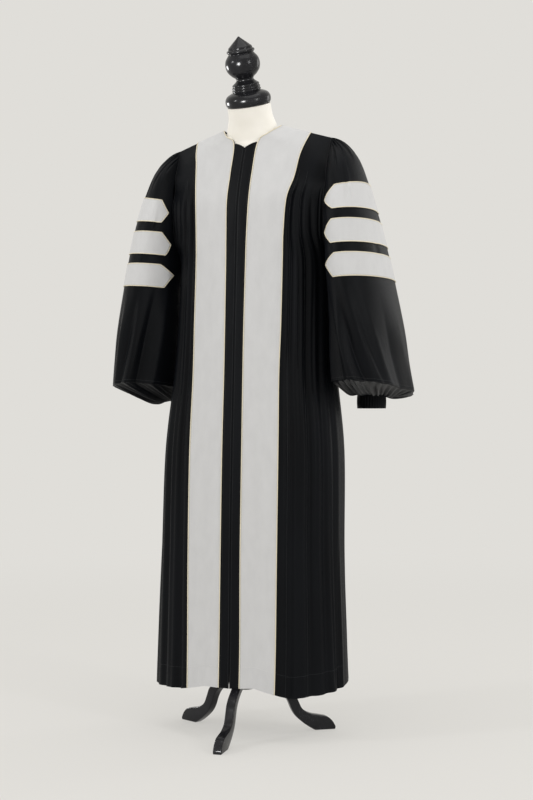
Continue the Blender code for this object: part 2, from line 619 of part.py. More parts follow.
def sleeve_grid(side, around, rows):
    edges = armhole_edges()
    control = np.array([cap_arc(around, edges)]
                       + [ring_points(ring, around, edges) for ring in RINGS])
    grid = along_rows(control, rows)
    rows = np.array(rows, dtype=float)[:, None]
    swell = CAP_SWELL * np.sin(np.pi * np.clip(rows, 0, 1)) * np.sin(np.pi * around)
    grid[..., 2] += swell
    faces = facing(grid.reshape(-1, 3), grid_faces(*grid.shape[:2]), grid[-1].mean(axis=0))
    normals = vertex_normals(grid.reshape(-1, 3), faces).reshape(grid.shape)
    number = np.arange(len(around))
    trough = (number % 2) * (0.65 + 0.35 * np.sin(2.4 * number)) * (number > 2)
    trough = trough * (number < len(around) - 3)
    depth = GATHER_DEPTH * trough * smoothstep(rows / 0.4) * smoothstep((2 - rows) / 1.6)
    for fold in SLEEVE_FOLDS:
        share = np.clip((rows - fold.start) / (len(RINGS) - fold.start), 0, 1)
        centre = fold.around_top + (fold.around_rim - fold.around_top) * share
        shape = np.exp(-((around - centre) / fold.width) ** 2)
        depth = depth + fold.depth * shape * smoothstep((rows - fold.start)
                                                        / (fold.full - fold.start))
    grid = grid - normals * depth[..., None]
    trim(grid[:, 0], grid[:, 1])
    trim(grid[:, -1], grid[:, -2])
    return grid * (side, 1, 1)


def build_sleeve(name, side):
    around = np.linspace(0, 1, 2 * GATHERS + 1)
    grid = sleeve_grid(side, around, SLEEVE_ROWS)
    middle = grid[-1].mean(axis=0)
    faces = facing(grid.reshape(-1, 3), grid_faces(*grid.shape[:2]), middle)
    normals = vertex_normals(grid.reshape(-1, 3), faces).reshape(grid.shape)
    closed = [number for number, row in enumerate(SLEEVE_ROWS) if row >= CLOSED_ROW]
    for column in (0, -1):
        normals[:closed[0], column, 0] = 0
        normals[closed[0]:, column] = (-side, 0, 0)
    normals[0, :, 0] = 0
    normals /= np.linalg.norm(normals, axis=-1, keepdims=True)
    layer(f"sleeve_{name}", grid, normals, -CLOTH, 0, faces, black_cloth)
    for number, bar in enumerate(BARS[name], start=1):
        build_bar(f"{name}_{number}", grid, normals, bar, around)
    build_under(name, side, grid, normals)


def bar_outline(bar, around, inset):
    # Columns of a bar drawn in by an inset: place round the sleeve and half height there
    point = inset * BAR_POINT_DRAW
    tip, corner = bar.tip + point, bar.corner + point / 2
    columns = [place for place in around if tip + COLUMN_APART < place < 1 - tip - COLUMN_APART]
    columns = [place for place in columns
               if min(abs(place - corner), abs(1 - corner - place)) > COLUMN_APART]
    places = np.array(sorted(columns + [tip, corner, 1 - corner, 1 - tip]))
    ends = np.minimum(places, 1 - places)
    full = 0.5 - inset / BAR_HEIGHT
    return places, full * np.clip((ends - tip) / (corner - tip), 0, 1)


def build_bar(name, grid, normals, bar, around):
    # A velvet bar with pointed ends, laid on the sleeve between two of its rows
    top, low = SLEEVE_ROWS.index(bar.top_row), SLEEVE_ROWS.index(bar.top_row + 1)

    def on_sleeve(place, down, source):
        # The point on the sleeve's own triangles
        column = place * (len(around) - 1)
        start = min(int(column + 1e-6), len(around) - 2)
        share = column - start
        first, second = source[top, start], source[top, start + 1]
        third, fourth = source[low, start + 1], source[low, start]
        if share <= down:
            return first + (fourth - first) * down + (third - fourth) * share
        return first + (second - first) * share + (third - second) * down

    def ring(inset):
        places, halves = bar_outline(bar, around, inset)
        spots = [(place, 0.5 - half) for place, half in zip(places, halves)]
        spots += [(place, 0.5 + half) for place, half in zip(places, halves)][-2:0:-1]
        return (np.array([on_sleeve(*spot, grid) for spot in spots]),
                np.array([on_sleeve(*spot, normals) for spot in spots]))

    points, over = ring(PIPE_ROOM)
    count = len(points)
    last = count // 2
    faces = [(0, count - 1, 1), (last - 1, last + 1, last)]
    for k in range(1, last - 1):
        faces += [(k, count - k, count - k - 1), (k, count - k - 1, k + 1)]
    faces = facing(points, faces, grid[-1].mean(axis=0))
    wall(f"bar_{name}", points + over * (BAR_LIFT + VELVET), points + over * BAR_LIFT, faces,
         velvet_cloth)
    points, over = ring(PIPE_ROOM / 2)
    lift = BAR_LIFT + PIPE_RADIUS
    tube(f"piping_bar_{name}", points + over * lift, over, PIPE_RADIUS, piping_cord, closed=True)


def oval(around, half_width, half_depth, centre, height):
    angles = np.pi * (1 - 2 * around)
    return np.stack([centre[0] + half_width * np.cos(angles),
                     centre[1] - half_depth * np.sin(angles),
                     np.full_like(around, height)], axis=-1)


def build_under(name, side, sleeve, sleeve_normals):
    # The gathered underside, from inside the rim in to the cuff, and the cuff itself
    count = sleeve.shape[1] - 1
    rim, above, over = sleeve[-1, :-1].copy(), sleeve[-2, :-1], sleeve_normals[-1, :-1]
    rim[0] = (sleeve[-1, 0] + sleeve[-1, -1]) / 2
    up = above - rim
    up /= np.linalg.norm(up, axis=1, keepdims=True)
    inside = rim - over * (CLOTH + 2 * SLEEVE_SEAM)
    start = rim - over * (CLOTH + 0.003) - (0, 0, 0.002)
    around = np.arange(count) / count
    cuff = oval(around, CUFF_HALF_WIDTH, CUFF_HALF_DEPTH, CUFF_CENTRE, CUFF_TOP + 3 * SEAM)
    cuff = cuff * (side, 1, 1)
    rows = [inside + up * UNDER_TUCK, start]
    outward = cuff - cuff.mean(axis=0)
    outward /= np.linalg.norm(outward, axis=1, keepdims=True)
    loose = np.clip(np.sum((start - cuff) * outward, axis=1) / UNDER_SPAN, 0, 1) ** 2
    pleat = np.where(np.arange(count) % 2, 1, -1)[:, None]
    for row in UNDER_ROWS:
        points = start + (cuff - start) * row.share
        points[:, 2] -= UNDER_SAG[name] * row.sag * loose
        points += np.array([0, 0, 1]) * pleat * row.gather / 2 * loose[:, None]
        rows.append(points)
    grid = np.array(rows)
    faces = facing(grid[:2].reshape(-1, 3), grid_faces(2, count, True), cuff.mean(axis=0))
    flipped = faces[0] != grid_faces(2, count, True)[0]
    faces = grid_faces(len(grid), count, True)
    if flipped:
        faces = [face[::-1] for face in faces]
    normals = vertex_normals(grid.reshape(-1, 3), faces).reshape(grid.shape)
    normals[-1, :, 2] = np.minimum(normals[-1, :, 2], 0)
    normals /= np.linalg.norm(normals, axis=-1, keepdims=True)
    layer(f"under_{name}", grid, normals, -CLOTH, 0, faces, black_cloth)
    around = np.arange(CUFF_COLUMNS) / CUFF_COLUMNS
    middle = np.array([CUFF_CENTRE[0] * side, CUFF_CENTRE[1], 0])
    rings = [oval(around, CUFF_HALF_WIDTH, CUFF_HALF_DEPTH, CUFF_CENTRE, height) * (side, 1, 1)
             for height in (CUFF_TOP, CUFF_BOTTOM)]
    grid = np.array(rings)
    faces = facing(grid.reshape(-1, 3), grid_faces(2, CUFF_COLUMNS, True), middle)
    normals = vertex_normals(grid.reshape(-1, 3), faces).reshape(grid.shape)
    layer(f"cuff_{name}", grid, normals, -CUFF_WALL, 0, faces, black_cloth)


# The dress form and its stand

def form_half():
    # Rings of the form's left half, from the centre front round the side to the centre back
    places = np.linspace(0, 1, FORM_COLUMNS)
    sections = [row.section for row in FORM_ROWS]
    halves = []
    for back in (False, True):
        inset = np.array([row.inset_back if back else row.inset_front for row in FORM_ROWS])
        control = np.array([section_points(turn_at(section.edge, section, back) * places,
                                           section, back) for section in SECTIONS])
        grid = along_rows(control, sections)
        faces = facing(grid.reshape(-1, 3), grid_faces(*grid.shape[:2]), BODY_AXIS)
        normals = vertex_normals(grid.reshape(-1, 3), faces).reshape(grid.shape)
        normals[:, 0, 0] = 0
        grid = grid - normals * inset[:, None, None]
        grid[..., 0] = np.clip(grid[..., 0], 0, FORM_SIDE)
        halves.append(grid if not back else grid[:, ::-1])
    upper = np.concatenate(halves, axis=1)
    turns = np.radians(FORM_SIDE_TURN) * places
    lower = []
    for ring in FORM_RINGS:
        middle = (ring.front_y + ring.back_y) / 2
        half_depth = (ring.back_y - ring.front_y) / 2
        x, y = ring.half_width * np.sin(turns), half_depth * np.cos(turns)
        height = np.full(FORM_COLUMNS, ring.height)
        front = np.stack([x, middle - y, height], axis=-1)
        back = np.stack([x, middle + y, height], axis=-1)[::-1]
        lower.append(np.concatenate([front, back]))
    return np.concatenate([upper, np.array(lower)])


def build_form():
    half = form_half()
    rings = np.concatenate([half, half[:, -2:0:-1] * (-1, 1, 1)], axis=1)
    rows, columns = rings.shape[:2]
    faces = []
    for row in range(rows - 1):
        for column in range(columns):
            after = (column + 1) % columns
            faces.append((row * columns + column, row * columns + after,
                          (row + 1) * columns + after, (row + 1) * columns + column))
    span = 2 * FORM_COLUMNS - 1
    for k in range(FORM_COLUMNS - 1):
        faces.append((k, span - k, span - k - 1, k + 1))
    for k in range(FORM_COLUMNS - 1):
        a, b = (columns - k) % columns, columns - k - 1
        faces.append((a, b, span + k + 1, span + k))
    faces.append(tuple((rows - 1) * columns + column for column in range(columns)))
    torso = solid("form_torso", rings.reshape(-1, 3), faces, form_cloth, sharp=55)
    neck = solid("neck_shape", *neck_shape(), form_cloth)
    neck.hide_render = True
    neck.display_type = "WIRE"
    join = torso.modifiers.new("neck", "BOOLEAN")
    join.operation = "UNION"
    join.solver = "EXACT"
    join.object = neck


def neck_shape():
    points = []
    for ring in NECK_RINGS:
        lean = math.radians(ring.lean)
        for k in range(NECK_COLUMNS):
            angle = 2 * math.pi * k / NECK_COLUMNS
            back = ring.half_depth * math.sin(angle)
            points.append((ring.half_width * math.cos(angle), ring.centre_y + back * math.cos(lean),
                           ring.height + back * math.sin(lean)))
    return points, ring_faces(len(NECK_RINGS), NECK_COLUMNS)


def ring_faces(rows, columns):
    faces = [(row * columns + column, row * columns + (column + 1) % columns,
              (row + 1) * columns + (column + 1) % columns, (row + 1) * columns + column)
             for row in range(rows - 1) for column in range(columns)]
    faces.append(tuple(range(columns)))
    faces.append(tuple((rows - 1) * columns + column for column in range(columns)))
    return faces


def turned(name, profile, columns, finish):
    points = [(spot.radius * math.cos(2 * math.pi * k / columns),
               spot.radius * math.sin(2 * math.pi * k / columns), spot.along)
              for spot in profile for k in range(columns)]
    return solid(name, points, ring_faces(len(profile), columns), finish, sharp=60)


def build_leg(name, turn):
    outline = LEG_TOP + LEG_BOTTOM
    count = len(outline)
    points = [(x, -spot.reach, spot.height) for x in (-LEG_WIDTH / 2, LEG_WIDTH / 2)
              for spot in outline]
    faces = [(k, (k + 1) % count, count + (k + 1) % count, count + k) for k in range(count)]
    faces += [tuple(range(count)), tuple(range(count, 2 * count))]
    leg = solid(name, points, faces, stand_paint)
    leg.rotation_euler = (0, 0, math.radians(turn))
    rounding = leg.modifiers.new("rounding", "BEVEL")
    rounding.width = LEG_BEVEL
    rounding.segments = 1
    rounding.limit_method = "ANGLE"
    rounding.angle_limit = math.radians(60)
    return leg


black_cloth = material("black cloth", (0.012, 0.013, 0.015), 0.42)
velvet_cloth = material("grey velvet", (0.62, 0.62, 0.62), 0.85)
piping_cord = material("ivory piping", (0.88, 0.80, 0.62), 0.6)
zip_cloth = material("black zip tape", (0.010, 0.010, 0.011), 0.6)
form_cloth = material("cream jersey", (0.90, 0.85, 0.77), 0.8)
stand_paint = material("black gloss paint", (0.008, 0.008, 0.009), 0.15)

for side_name, side_sign in SIDES.items():
    build_front(side_name, side_sign)
    build_sleeve(side_name, side_sign)
build_back()
build_zip()
build_form()
finial = turned("finial", FINIAL_PROFILE, 14, stand_paint)
finial.rotation_euler = (math.radians(FINIAL_LEAN), 0, 0)
finial.location = FINIAL_SEAT
turned("hub", HUB_PROFILE, 12, stand_paint)
pole_profile = [Turned(POLE_FOOT, POLE_RADIUS), Turned(FORM_RINGS[-1].height - SEAM, POLE_RADIUS)]
turned("pole", pole_profile, 12, stand_paint)
for leg_name, leg_turn in LEG_TURNS.items():
    build_leg(leg_name, leg_turn)

# Everything hangs from one empty, which brings the middle of the whole to x = y = 0
root = bpy.data.objects.new("root", None)
bpy.context.scene.collection.objects.link(root)
bpy.context.view_layer.update()
depths = [(thing.matrix_world @ vertex.co).y for thing in bpy.data.objects
          if thing.type == "MESH" and not thing.hide_render for vertex in thing.data.vertices]
for thing in list(bpy.data.objects):
    if thing != root:
        thing.parent = root
root.location = (0, -(min(depths) + max(depths)) / 2, 0)
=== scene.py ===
import math
from collections import namedtuple

import bmesh
import bpy
import numpy as np
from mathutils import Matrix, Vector


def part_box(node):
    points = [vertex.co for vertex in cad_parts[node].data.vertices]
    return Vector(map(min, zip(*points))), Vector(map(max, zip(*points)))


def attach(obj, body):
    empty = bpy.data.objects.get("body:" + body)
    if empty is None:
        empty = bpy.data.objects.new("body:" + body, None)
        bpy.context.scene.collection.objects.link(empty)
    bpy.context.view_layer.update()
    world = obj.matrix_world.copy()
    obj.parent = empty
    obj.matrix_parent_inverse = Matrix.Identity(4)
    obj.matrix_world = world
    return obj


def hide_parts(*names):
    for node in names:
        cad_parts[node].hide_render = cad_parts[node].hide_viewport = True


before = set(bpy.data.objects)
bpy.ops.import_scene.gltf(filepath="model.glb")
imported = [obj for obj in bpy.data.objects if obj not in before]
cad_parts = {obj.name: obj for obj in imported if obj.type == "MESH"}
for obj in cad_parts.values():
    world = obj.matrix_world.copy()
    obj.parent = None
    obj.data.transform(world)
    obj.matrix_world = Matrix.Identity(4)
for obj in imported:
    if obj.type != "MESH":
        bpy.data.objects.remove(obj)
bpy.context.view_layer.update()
poleLow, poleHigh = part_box("pole")
poleY = (poleLow[1] + poleHigh[1]) / 2
sides = {"left": 1, "right": -1}

# The gown's body: sections from the shoulder seam down to the hem
Section = namedtuple("Section", "height slope inner band edge halfWidth centreY front back "
                     "roundFront roundBack")
sections = [
    Section(1.4940, 0.30, 0.077, 0.155, 0.206, 0.215, 0.053, 0.013, -0.013, 2.0, 2.0),
    Section(1.4709, 0.38, 0.055, 0.147, 0.206, 0.240, 0.045, 0.036, 0.045, 1.5, 2.0),
    Section(1.4414, 0.40, 0.031, 0.140, 0.206, 0.250, 0.040, 0.037, 0.078, 2.0, 2.0),
    Section(1.3540, 0.15, 0.028, 0.133, 0.205, 0.250, 0.050, 0.075, 0.105, 1.6, 2.2),
    Section(1.2840, 0.02, 0.028, 0.122, 0.205, 0.250, 0.055, 0.098, 0.112, 1.8, 2.2),
    Section(1.2000, 0.00, 0.026, 0.117, 0.203, 0.221, 0.058, 0.108, 0.117, 2.0, 2.2),
    Section(1.1300, 0.00, 0.025, 0.116, 0.1985, 0.1985, 0.060, 0.113, 0.120, 2.2, 2.2),
    Section(0.9800, 0.00, 0.024, 0.116, 0.203, 0.203, 0.058, 0.118, 0.126, 2.3, 2.2),
    Section(0.8580, 0.00, 0.024, 0.115, 0.2095, 0.2095, 0.056, 0.121, 0.130, 2.5, 2.2),
    Section(0.6820, 0.00, 0.025, 0.118, 0.228, 0.228, 0.053, 0.126, 0.134, 2.7, 2.2),
    Section(0.4410, 0.00, 0.025, 0.118, 0.234, 0.234, 0.040, 0.121, 0.130, 2.6, 2.2),
    Section(0.2300, 0.00, 0.026, 0.117, 0.242, 0.242, 0.036, 0.121, 0.128, 2.5, 2.2),
    Section(0.1225, 0.00, 0.026, 0.116, 0.246, 0.246, 0.036, 0.125, 0.130, 2.5, 2.2),
]
hemRow = len(sections) - 1
underarmRow = 6
HemPoint = namedtuple("HemPoint", "turn height")
hemWave = np.array([
    HemPoint(-180, 0.120), HemPoint(-140, 0.122), HemPoint(-105, 0.112), HemPoint(-75, 0.106),
    HemPoint(-50, 0.110), HemPoint(-28, 0.1235), HemPoint(0, 0.1225), HemPoint(28, 0.1275),
    HemPoint(55, 0.107), HemPoint(80, 0.122), HemPoint(105, 0.143), HemPoint(140, 0.128),
    HemPoint(180, 0.120)])

gown = {
    "cloth": 0.0013,           # wall of the black cloth
    "velvet": 0.0013,
    "lift": 0.0003,            # velvet above the cloth under it
    "rowStep": 0.0060,         # how finely the body is divided down and across
    "blackColumns": 84,
    "velvetColumns": 22,
    "backColumns": 80,         # in each half of the back
    "hemFade": 0.30,
    "hemHeight": 0.1225,
    "hemTurnUp": 0.050,        # height of the hem's stitch line above the edge
    "neckHalfWidth": 0.077,
    "neckBack": 0.073,
    "neckRise": -0.016,
    "seamGap": 0.00015,
    "axisY": 0.045,            # the line that the cloth faces away from
    "threadLift": 0.0001,
    "hemSewing": 11,           # the hem's stitches lie below this section
}

# Flutes are pressed folds. Place runs from the band, or the centre back, at 0 to the side
# seam at 1. A crease is the sharp line at its bottom, which dies out towards the hem.
Flute = namedtuple("Flute", "place width start full depthTop depthHem crease")
frontFlutes = [Flute(0.13, 0.060, 2.6, 4.0, 0.0035, 0.0080, 0.0026),
               Flute(0.38, 0.070, 2.6, 4.0, 0.0038, 0.0065, 0.0026),
               Flute(0.62, 0.075, 3.2, 5.0, 0.0024, 0.0045, 0.0010),
               Flute(0.85, 0.065, 6.5, 9.0, 0.0014, 0.0060, 0.0004)]
backFlutes = [Flute(0.12, 0.050, 2.4, 4.0, 0.0050, 0.0090, 0.0026),
              Flute(0.33, 0.050, 2.4, 4.0, 0.0050, 0.0100, 0.0026),
              Flute(0.54, 0.050, 2.4, 4.0, 0.0045, 0.0090, 0.0022),
              Flute(0.76, 0.050, 3.0, 5.0, 0.0030, 0.0080, 0.0014)]

# Small creases on the body: place as above, from one row to another
Crease = namedtuple("Crease", "place drift width start end depth")
leftCreases = [Crease(0.24, 0.03, 0.035, 4.5, 9.5, 0.0022), Crease(0.50, -0.02, 0.040, 6.0, 11.5, 0.0020),
               Crease(0.07, 0.02, 0.030, 7.5, 12.0, 0.0030), Crease(0.72, 0.06, 0.030, 9.0, 12.4, 0.0024),
               Crease(0.93, -0.05, 0.030, 9.8, 12.4, 0.0026), Crease(0.80, 0.10, 0.022, 11.0, 12.4, 0.0022),
               Crease(0.97, -0.16, 0.035, 4.2, 6.6, 0.0030), Crease(0.88, -0.10, 0.030, 3.4, 5.4, 0.0022)]
rightCreases = [Crease(0.26, -0.02, 0.040, 5.0, 10.5, 0.0020), Crease(0.52, 0.03, 0.035, 5.5, 9.8, 0.0022),
                Crease(0.08, 0.03, 0.030, 8.0, 12.2, 0.0026), Crease(0.75, -0.05, 0.035, 8.6, 12.4, 0.0022),
                Crease(0.95, -0.15, 0.035, 4.4, 6.8, 0.0028), Crease(0.86, -0.09, 0.030, 3.6, 5.6, 0.0022)]
backCreases = [Crease(0.22, 0.02, 0.030, 4.4, 9.0, 0.0022), Crease(0.44, -0.02, 0.030, 5.2, 11.0, 0.0024),
               Crease(0.66, 0.02, 0.030, 4.8, 10.0, 0.0020), Crease(0.90, -0.06, 0.030, 8.2, 12.4, 0.0026),
               Crease(0.95, -0.18, 0.035, 4.0, 6.4, 0.0030), Crease(0.84, -0.12, 0.030, 3.2, 5.2, 0.0022)]


def smoothStep(value):
    value = np.clip(value, 0.0, 1.0)
    return value * value * (3 - 2 * value)


def alongRows(control, rows):
    # Points on smooth curves down the columns of a control grid, at any fraction of a row
    rows = np.asarray(rows, dtype=float)
    if rows.ndim == 1:
        rows = np.repeat(rows[:, None], control.shape[1], axis=1)
    last = control.shape[0] - 1
    start = np.clip(np.floor(rows).astype(int), 0, last - 1)
    share = (rows - start)[..., None]
    columns = np.broadcast_to(np.arange(control.shape[1]), rows.shape)
    before = control[np.maximum(start - 1, 0), columns]
    first = control[start, columns]
    second = control[start + 1, columns]
    after = control[np.minimum(start + 2, last), columns]
    return first + 0.5 * share * (
        second - before + share * (2 * before - 5 * first + 4 * second - after
                                   + share * (3 * (first - second) + after - before)))


def gridNormals(grid, outward):
    # Normals of a grid of points, turned to the side that outward points to
    across = np.gradient(grid, axis=1)
    down = np.gradient(grid, axis=0)
    normals = np.cross(across, down)
    normals /= np.maximum(np.linalg.norm(normals, axis=-1, keepdims=True), 1e-12)
    if np.sum(normals * outward) < 0:
        normals = -normals
    return normals


def fromAxis(grid, rise=0.0):
    # The way out from the body's axis at each point
    return (grid - (0, gown["axisY"], 0)) * (1, 1, rise)


def fineRows(heights, step, least):
    # Row places about a step apart down a list of heights
    places = []
    for row in range(len(heights) - 1):
        count = max(least, math.ceil(abs(heights[row] - heights[row + 1]) / step))
        places += [row + k / count for k in range(count)]
    return np.array(places + [len(heights) - 1.0])


def noteStage(words):
    print(f"gown scene: {words}")


# Meshes

def linkMesh(name, mesh, finish, slotName):
    thing = bpy.data.objects.new(name, mesh)
    bpy.context.scene.collection.objects.link(thing)
    mesh.materials.clear()
    mesh.materials.append(finish)
    mesh["slot"] = slotName
    return thing


def arcLengths(grid):
    # Lengths across and down a grid, in metres, for its UV map
    middle = grid[len(grid) // 2]
    across = np.concatenate([[0], np.cumsum(np.linalg.norm(np.diff(middle, axis=0), axis=1))])
    column = grid[:, grid.shape[1] // 2]
    down = np.concatenate([[0], np.cumsum(np.linalg.norm(np.diff(column, axis=0), axis=1))])
    return across, down


def shell(name, grid, normals, low, high, finish, slotName, closed=False):
    # A closed wall between two distances from a grid of cloth, with a UV map in metres
    rows, columns = grid.shape[:2]
    outer = (grid + normals * high).reshape(-1, 3)
    inner = (grid + normals * low).reshape(-1, 3)
    points = np.vstack([outer, inner]) + (0, poleY, 0)
    count = rows * columns
    reach = columns if closed else columns - 1
    row, column = np.meshgrid(np.arange(rows - 1), np.arange(reach), indexing="ij")
    row, column = row.ravel(), column.ravel()
    after = (column + 1) % columns
    quads = np.stack([row * columns + column, row * columns + after,
                      (row + 1) * columns + after, (row + 1) * columns + column], axis=1)
    ring = grid if not closed else np.concatenate([grid, grid[:, :1]], axis=1)
    across, down = arcLengths(ring)
    quadMaps = np.stack([np.stack([across[column], down[row]], axis=1),
                         np.stack([across[column + 1], down[row]], axis=1),
                         np.stack([across[column + 1], down[row + 1]], axis=1),
                         np.stack([across[column], down[row + 1]], axis=1)], axis=1)
    first = quads[0]
    turn = np.cross(outer[first[1]] - outer[first[0]], outer[first[3]] - outer[first[0]])
    if np.dot(turn, normals.reshape(-1, 3)[first[0]]) < 0:
        quads, quadMaps = quads[:, ::-1], quadMaps[:, ::-1]
    edges = {}
    for quad in (quads[:, [0, 1]], quads[:, [1, 2]], quads[:, [2, 3]], quads[:, [3, 0]]):
        for start, end in quad:
            edges[(int(start), int(end))] = True
    rim = [(end, start, start + count, end + count) for start, end in edges
           if (end, start) not in edges]
    faces = np.vstack([quads, quads[:, ::-1] + count, np.array(rim)])
    rimMap = np.zeros((len(rim), 4, 2))
    maps = np.vstack([quadMaps, quadMaps[:, ::-1], rimMap])
    mesh = bpy.data.meshes.new(name)
    mesh.from_pydata(points.tolist(), [], faces.tolist())
    mesh.uv_layers.new(name="cut").data.foreach_set("uv", maps.astype(np.float32).ravel())
    mesh.shade_smooth()
    mesh.set_sharp_from_angle(angle=math.radians(60))
    return linkMesh(name, mesh, finish, slotName)


def cord(name, centres, normals, radius, finish, slotName, closed=False, around=8):
    # A round cord along a line of points
    centres, normals = np.array(centres), np.array(normals)
    if closed:
        along = np.roll(centres, -1, axis=0) - np.roll(centres, 1, axis=0)
    else:
        along = np.gradient(centres, axis=0)
    across = np.cross(along, normals)
    across /= np.linalg.norm(across, axis=1, keepdims=True)
    up = np.cross(across, along)
    up /= np.linalg.norm(up, axis=1, keepdims=True)
    angles = np.arange(around) * 2 * math.pi / around
    rings = np.stack([centres + radius * (across * math.cos(angle) + up * math.sin(angle))
                      for angle in angles], axis=1) + (0, poleY, 0)
    rows = len(centres)
    steps = np.linalg.norm(np.diff(centres, axis=0, append=centres[:1]), axis=1)
    down = np.concatenate([[0], np.cumsum(steps)])
    faces, maps = [], []
    for row in range(rows if closed else rows - 1):
        low, high = row * around, ((row + 1) % rows) * around
        for k in range(around):
            after = (k + 1) % around
            faces.append((low + k, low + after, high + after, high + k))
            first, last = k / around, (k + 1) / around
            maps += [(first, down[row]), (last, down[row]), (last, down[row + 1]), (first, down[row + 1])]
    if not closed:
        for end, order in ((0, range(around - 1, -1, -1)), (rows - 1, range(around))):
            faces.append(tuple(end * around + k for k in order))
            maps += [(0.5, down[end])] * around
    mesh = bpy.data.meshes.new(name)
    mesh.from_pydata(rings.reshape(-1, 3).tolist(), [], faces)
    mesh.uv_layers.new(name="cut").data.foreach_set("uv", np.array(maps, dtype=np.float32).ravel())
    mesh.shade_smooth()
    if closedVolume(mesh) < 0:
        mesh.flip_normals()
    return linkMesh(name, mesh, finish, slotName)


def closedVolume(mesh):
    shape = bmesh.new()
    shape.from_mesh(mesh)
    volume = shape.calc_volume(signed=True)
    shape.free()
    return volume


# Materials

def newMaterial(name, colour, roughness):
    made = bpy.data.materials.new(name)
    made.use_nodes = True
    tree = made.node_tree
    shader = tree.nodes["Principled BSDF"]
    shader.inputs["Base Color"].default_value = (*colour, 1)
    shader.inputs["Roughness"].default_value = roughness
    return made, tree, shader


def addNode(tree, kind, links=None, **values):
    node = tree.nodes.new(kind)
    for label, value in values.items():
        if label in node.inputs:
            node.inputs[label].default_value = value
        else:
            setattr(node, label, value)
    for label, source in (links or {}).items():
        tree.links.new(source, node.inputs[label])
    return node


def mapped(tree, scale=(1, 1, 1), turn=0.0, source="UV"):
    # Coordinates for a pattern: the cut's own UV map in metres, or the object's
    place = addNode(tree, "ShaderNodeTexCoord")
    mapping = addNode(tree, "ShaderNodeMapping", {"Vector": place.outputs[source]})
    mapping.inputs["Scale"].default_value = scale
    mapping.inputs["Rotation"].default_value = (0, 0, turn)
    return mapping.outputs["Vector"]


def colourRamp(tree, source, low, high, start=0.3, end=0.7):
    ramp = addNode(tree, "ShaderNodeValToRGB", {"Fac": source})
    ramp.color_ramp.elements[0].position = start
    ramp.color_ramp.elements[0].color = (*low, 1)
    ramp.color_ramp.elements[1].position = end
    ramp.color_ramp.elements[1].color = (*high, 1)
    return ramp.outputs["Color"]


def ranged(tree, source, low, high):
    node = addNode(tree, "ShaderNodeMapRange", {"Value": source})
    node.inputs["To Min"].default_value = low
    node.inputs["To Max"].default_value = high
    return node.outputs["Result"]


# A wave texture of scale 1 repeats at this distance
wavePitch = 0.314


def weaveHeight(tree, thread, turn):
    # Height of a plain weave whose threads are this far apart
    coords = mapped(tree, turn=turn)
    waves = [addNode(tree, "ShaderNodeTexWave", {"Vector": coords}, Scale=wavePitch / thread,
                     Distortion=0.6, Detail=1.0, bands_direction=direction).outputs["Fac"]
             for direction in ("X", "Y")]
    weave = addNode(tree, "ShaderNodeMath", operation="MULTIPLY")
    for k in range(2):
        tree.links.new(waves[k], weave.inputs[k])
    return weave.outputs["Value"]


def bumped(tree, shader, height, strength, distance):
    bump = addNode(tree, "ShaderNodeBump", {"Height": height}, Strength=strength, Distance=distance)
    tree.links.new(bump.outputs["Normal"], shader.inputs["Normal"])


def gownClothMaterial():
    look = {"colour": (0.0022, 0.0026, 0.0034), "lighter": (0.0046, 0.0054, 0.0072),
            "thread": 0.0006, "roughLow": 0.38, "roughHigh": 0.50}
    made, tree, shader = newMaterial("blackGownCloth", look["colour"], 0.45)
    shader.inputs["Sheen Weight"].default_value = 0.006
    shader.inputs["Sheen Roughness"].default_value = 0.35
    shader.inputs["Sheen Tint"].default_value = (0.60, 0.72, 1.0, 1)
    shader.inputs["Specular IOR Level"].default_value = 0.085
    drape = addNode(tree, "ShaderNodeTexNoise", {"Vector": mapped(tree, (9, 2.2, 1))}, Scale=1.0,
                    Detail=4.0, Roughness=0.55)
    tree.links.new(colourRamp(tree, drape.outputs["Fac"], look["colour"], look["lighter"]),
                   shader.inputs["Base Color"])
    tree.links.new(ranged(tree, drape.outputs["Fac"], look["roughLow"], look["roughHigh"]),
                   shader.inputs["Roughness"])
    weave = weaveHeight(tree, look["thread"], math.radians(45))
    soft = addNode(tree, "ShaderNodeTexNoise", {"Vector": mapped(tree, (60, 14, 1))}, Scale=1.0,
                   Detail=3.0)
    both = addNode(tree, "ShaderNodeMath", operation="MULTIPLY_ADD")
    tree.links.new(weave, both.inputs[0])
    both.inputs[1].default_value = 0.35
    tree.links.new(soft.outputs["Fac"], both.inputs[2])
    bumped(tree, shader, both.outputs["Value"], 0.35, 0.0006)
    return made


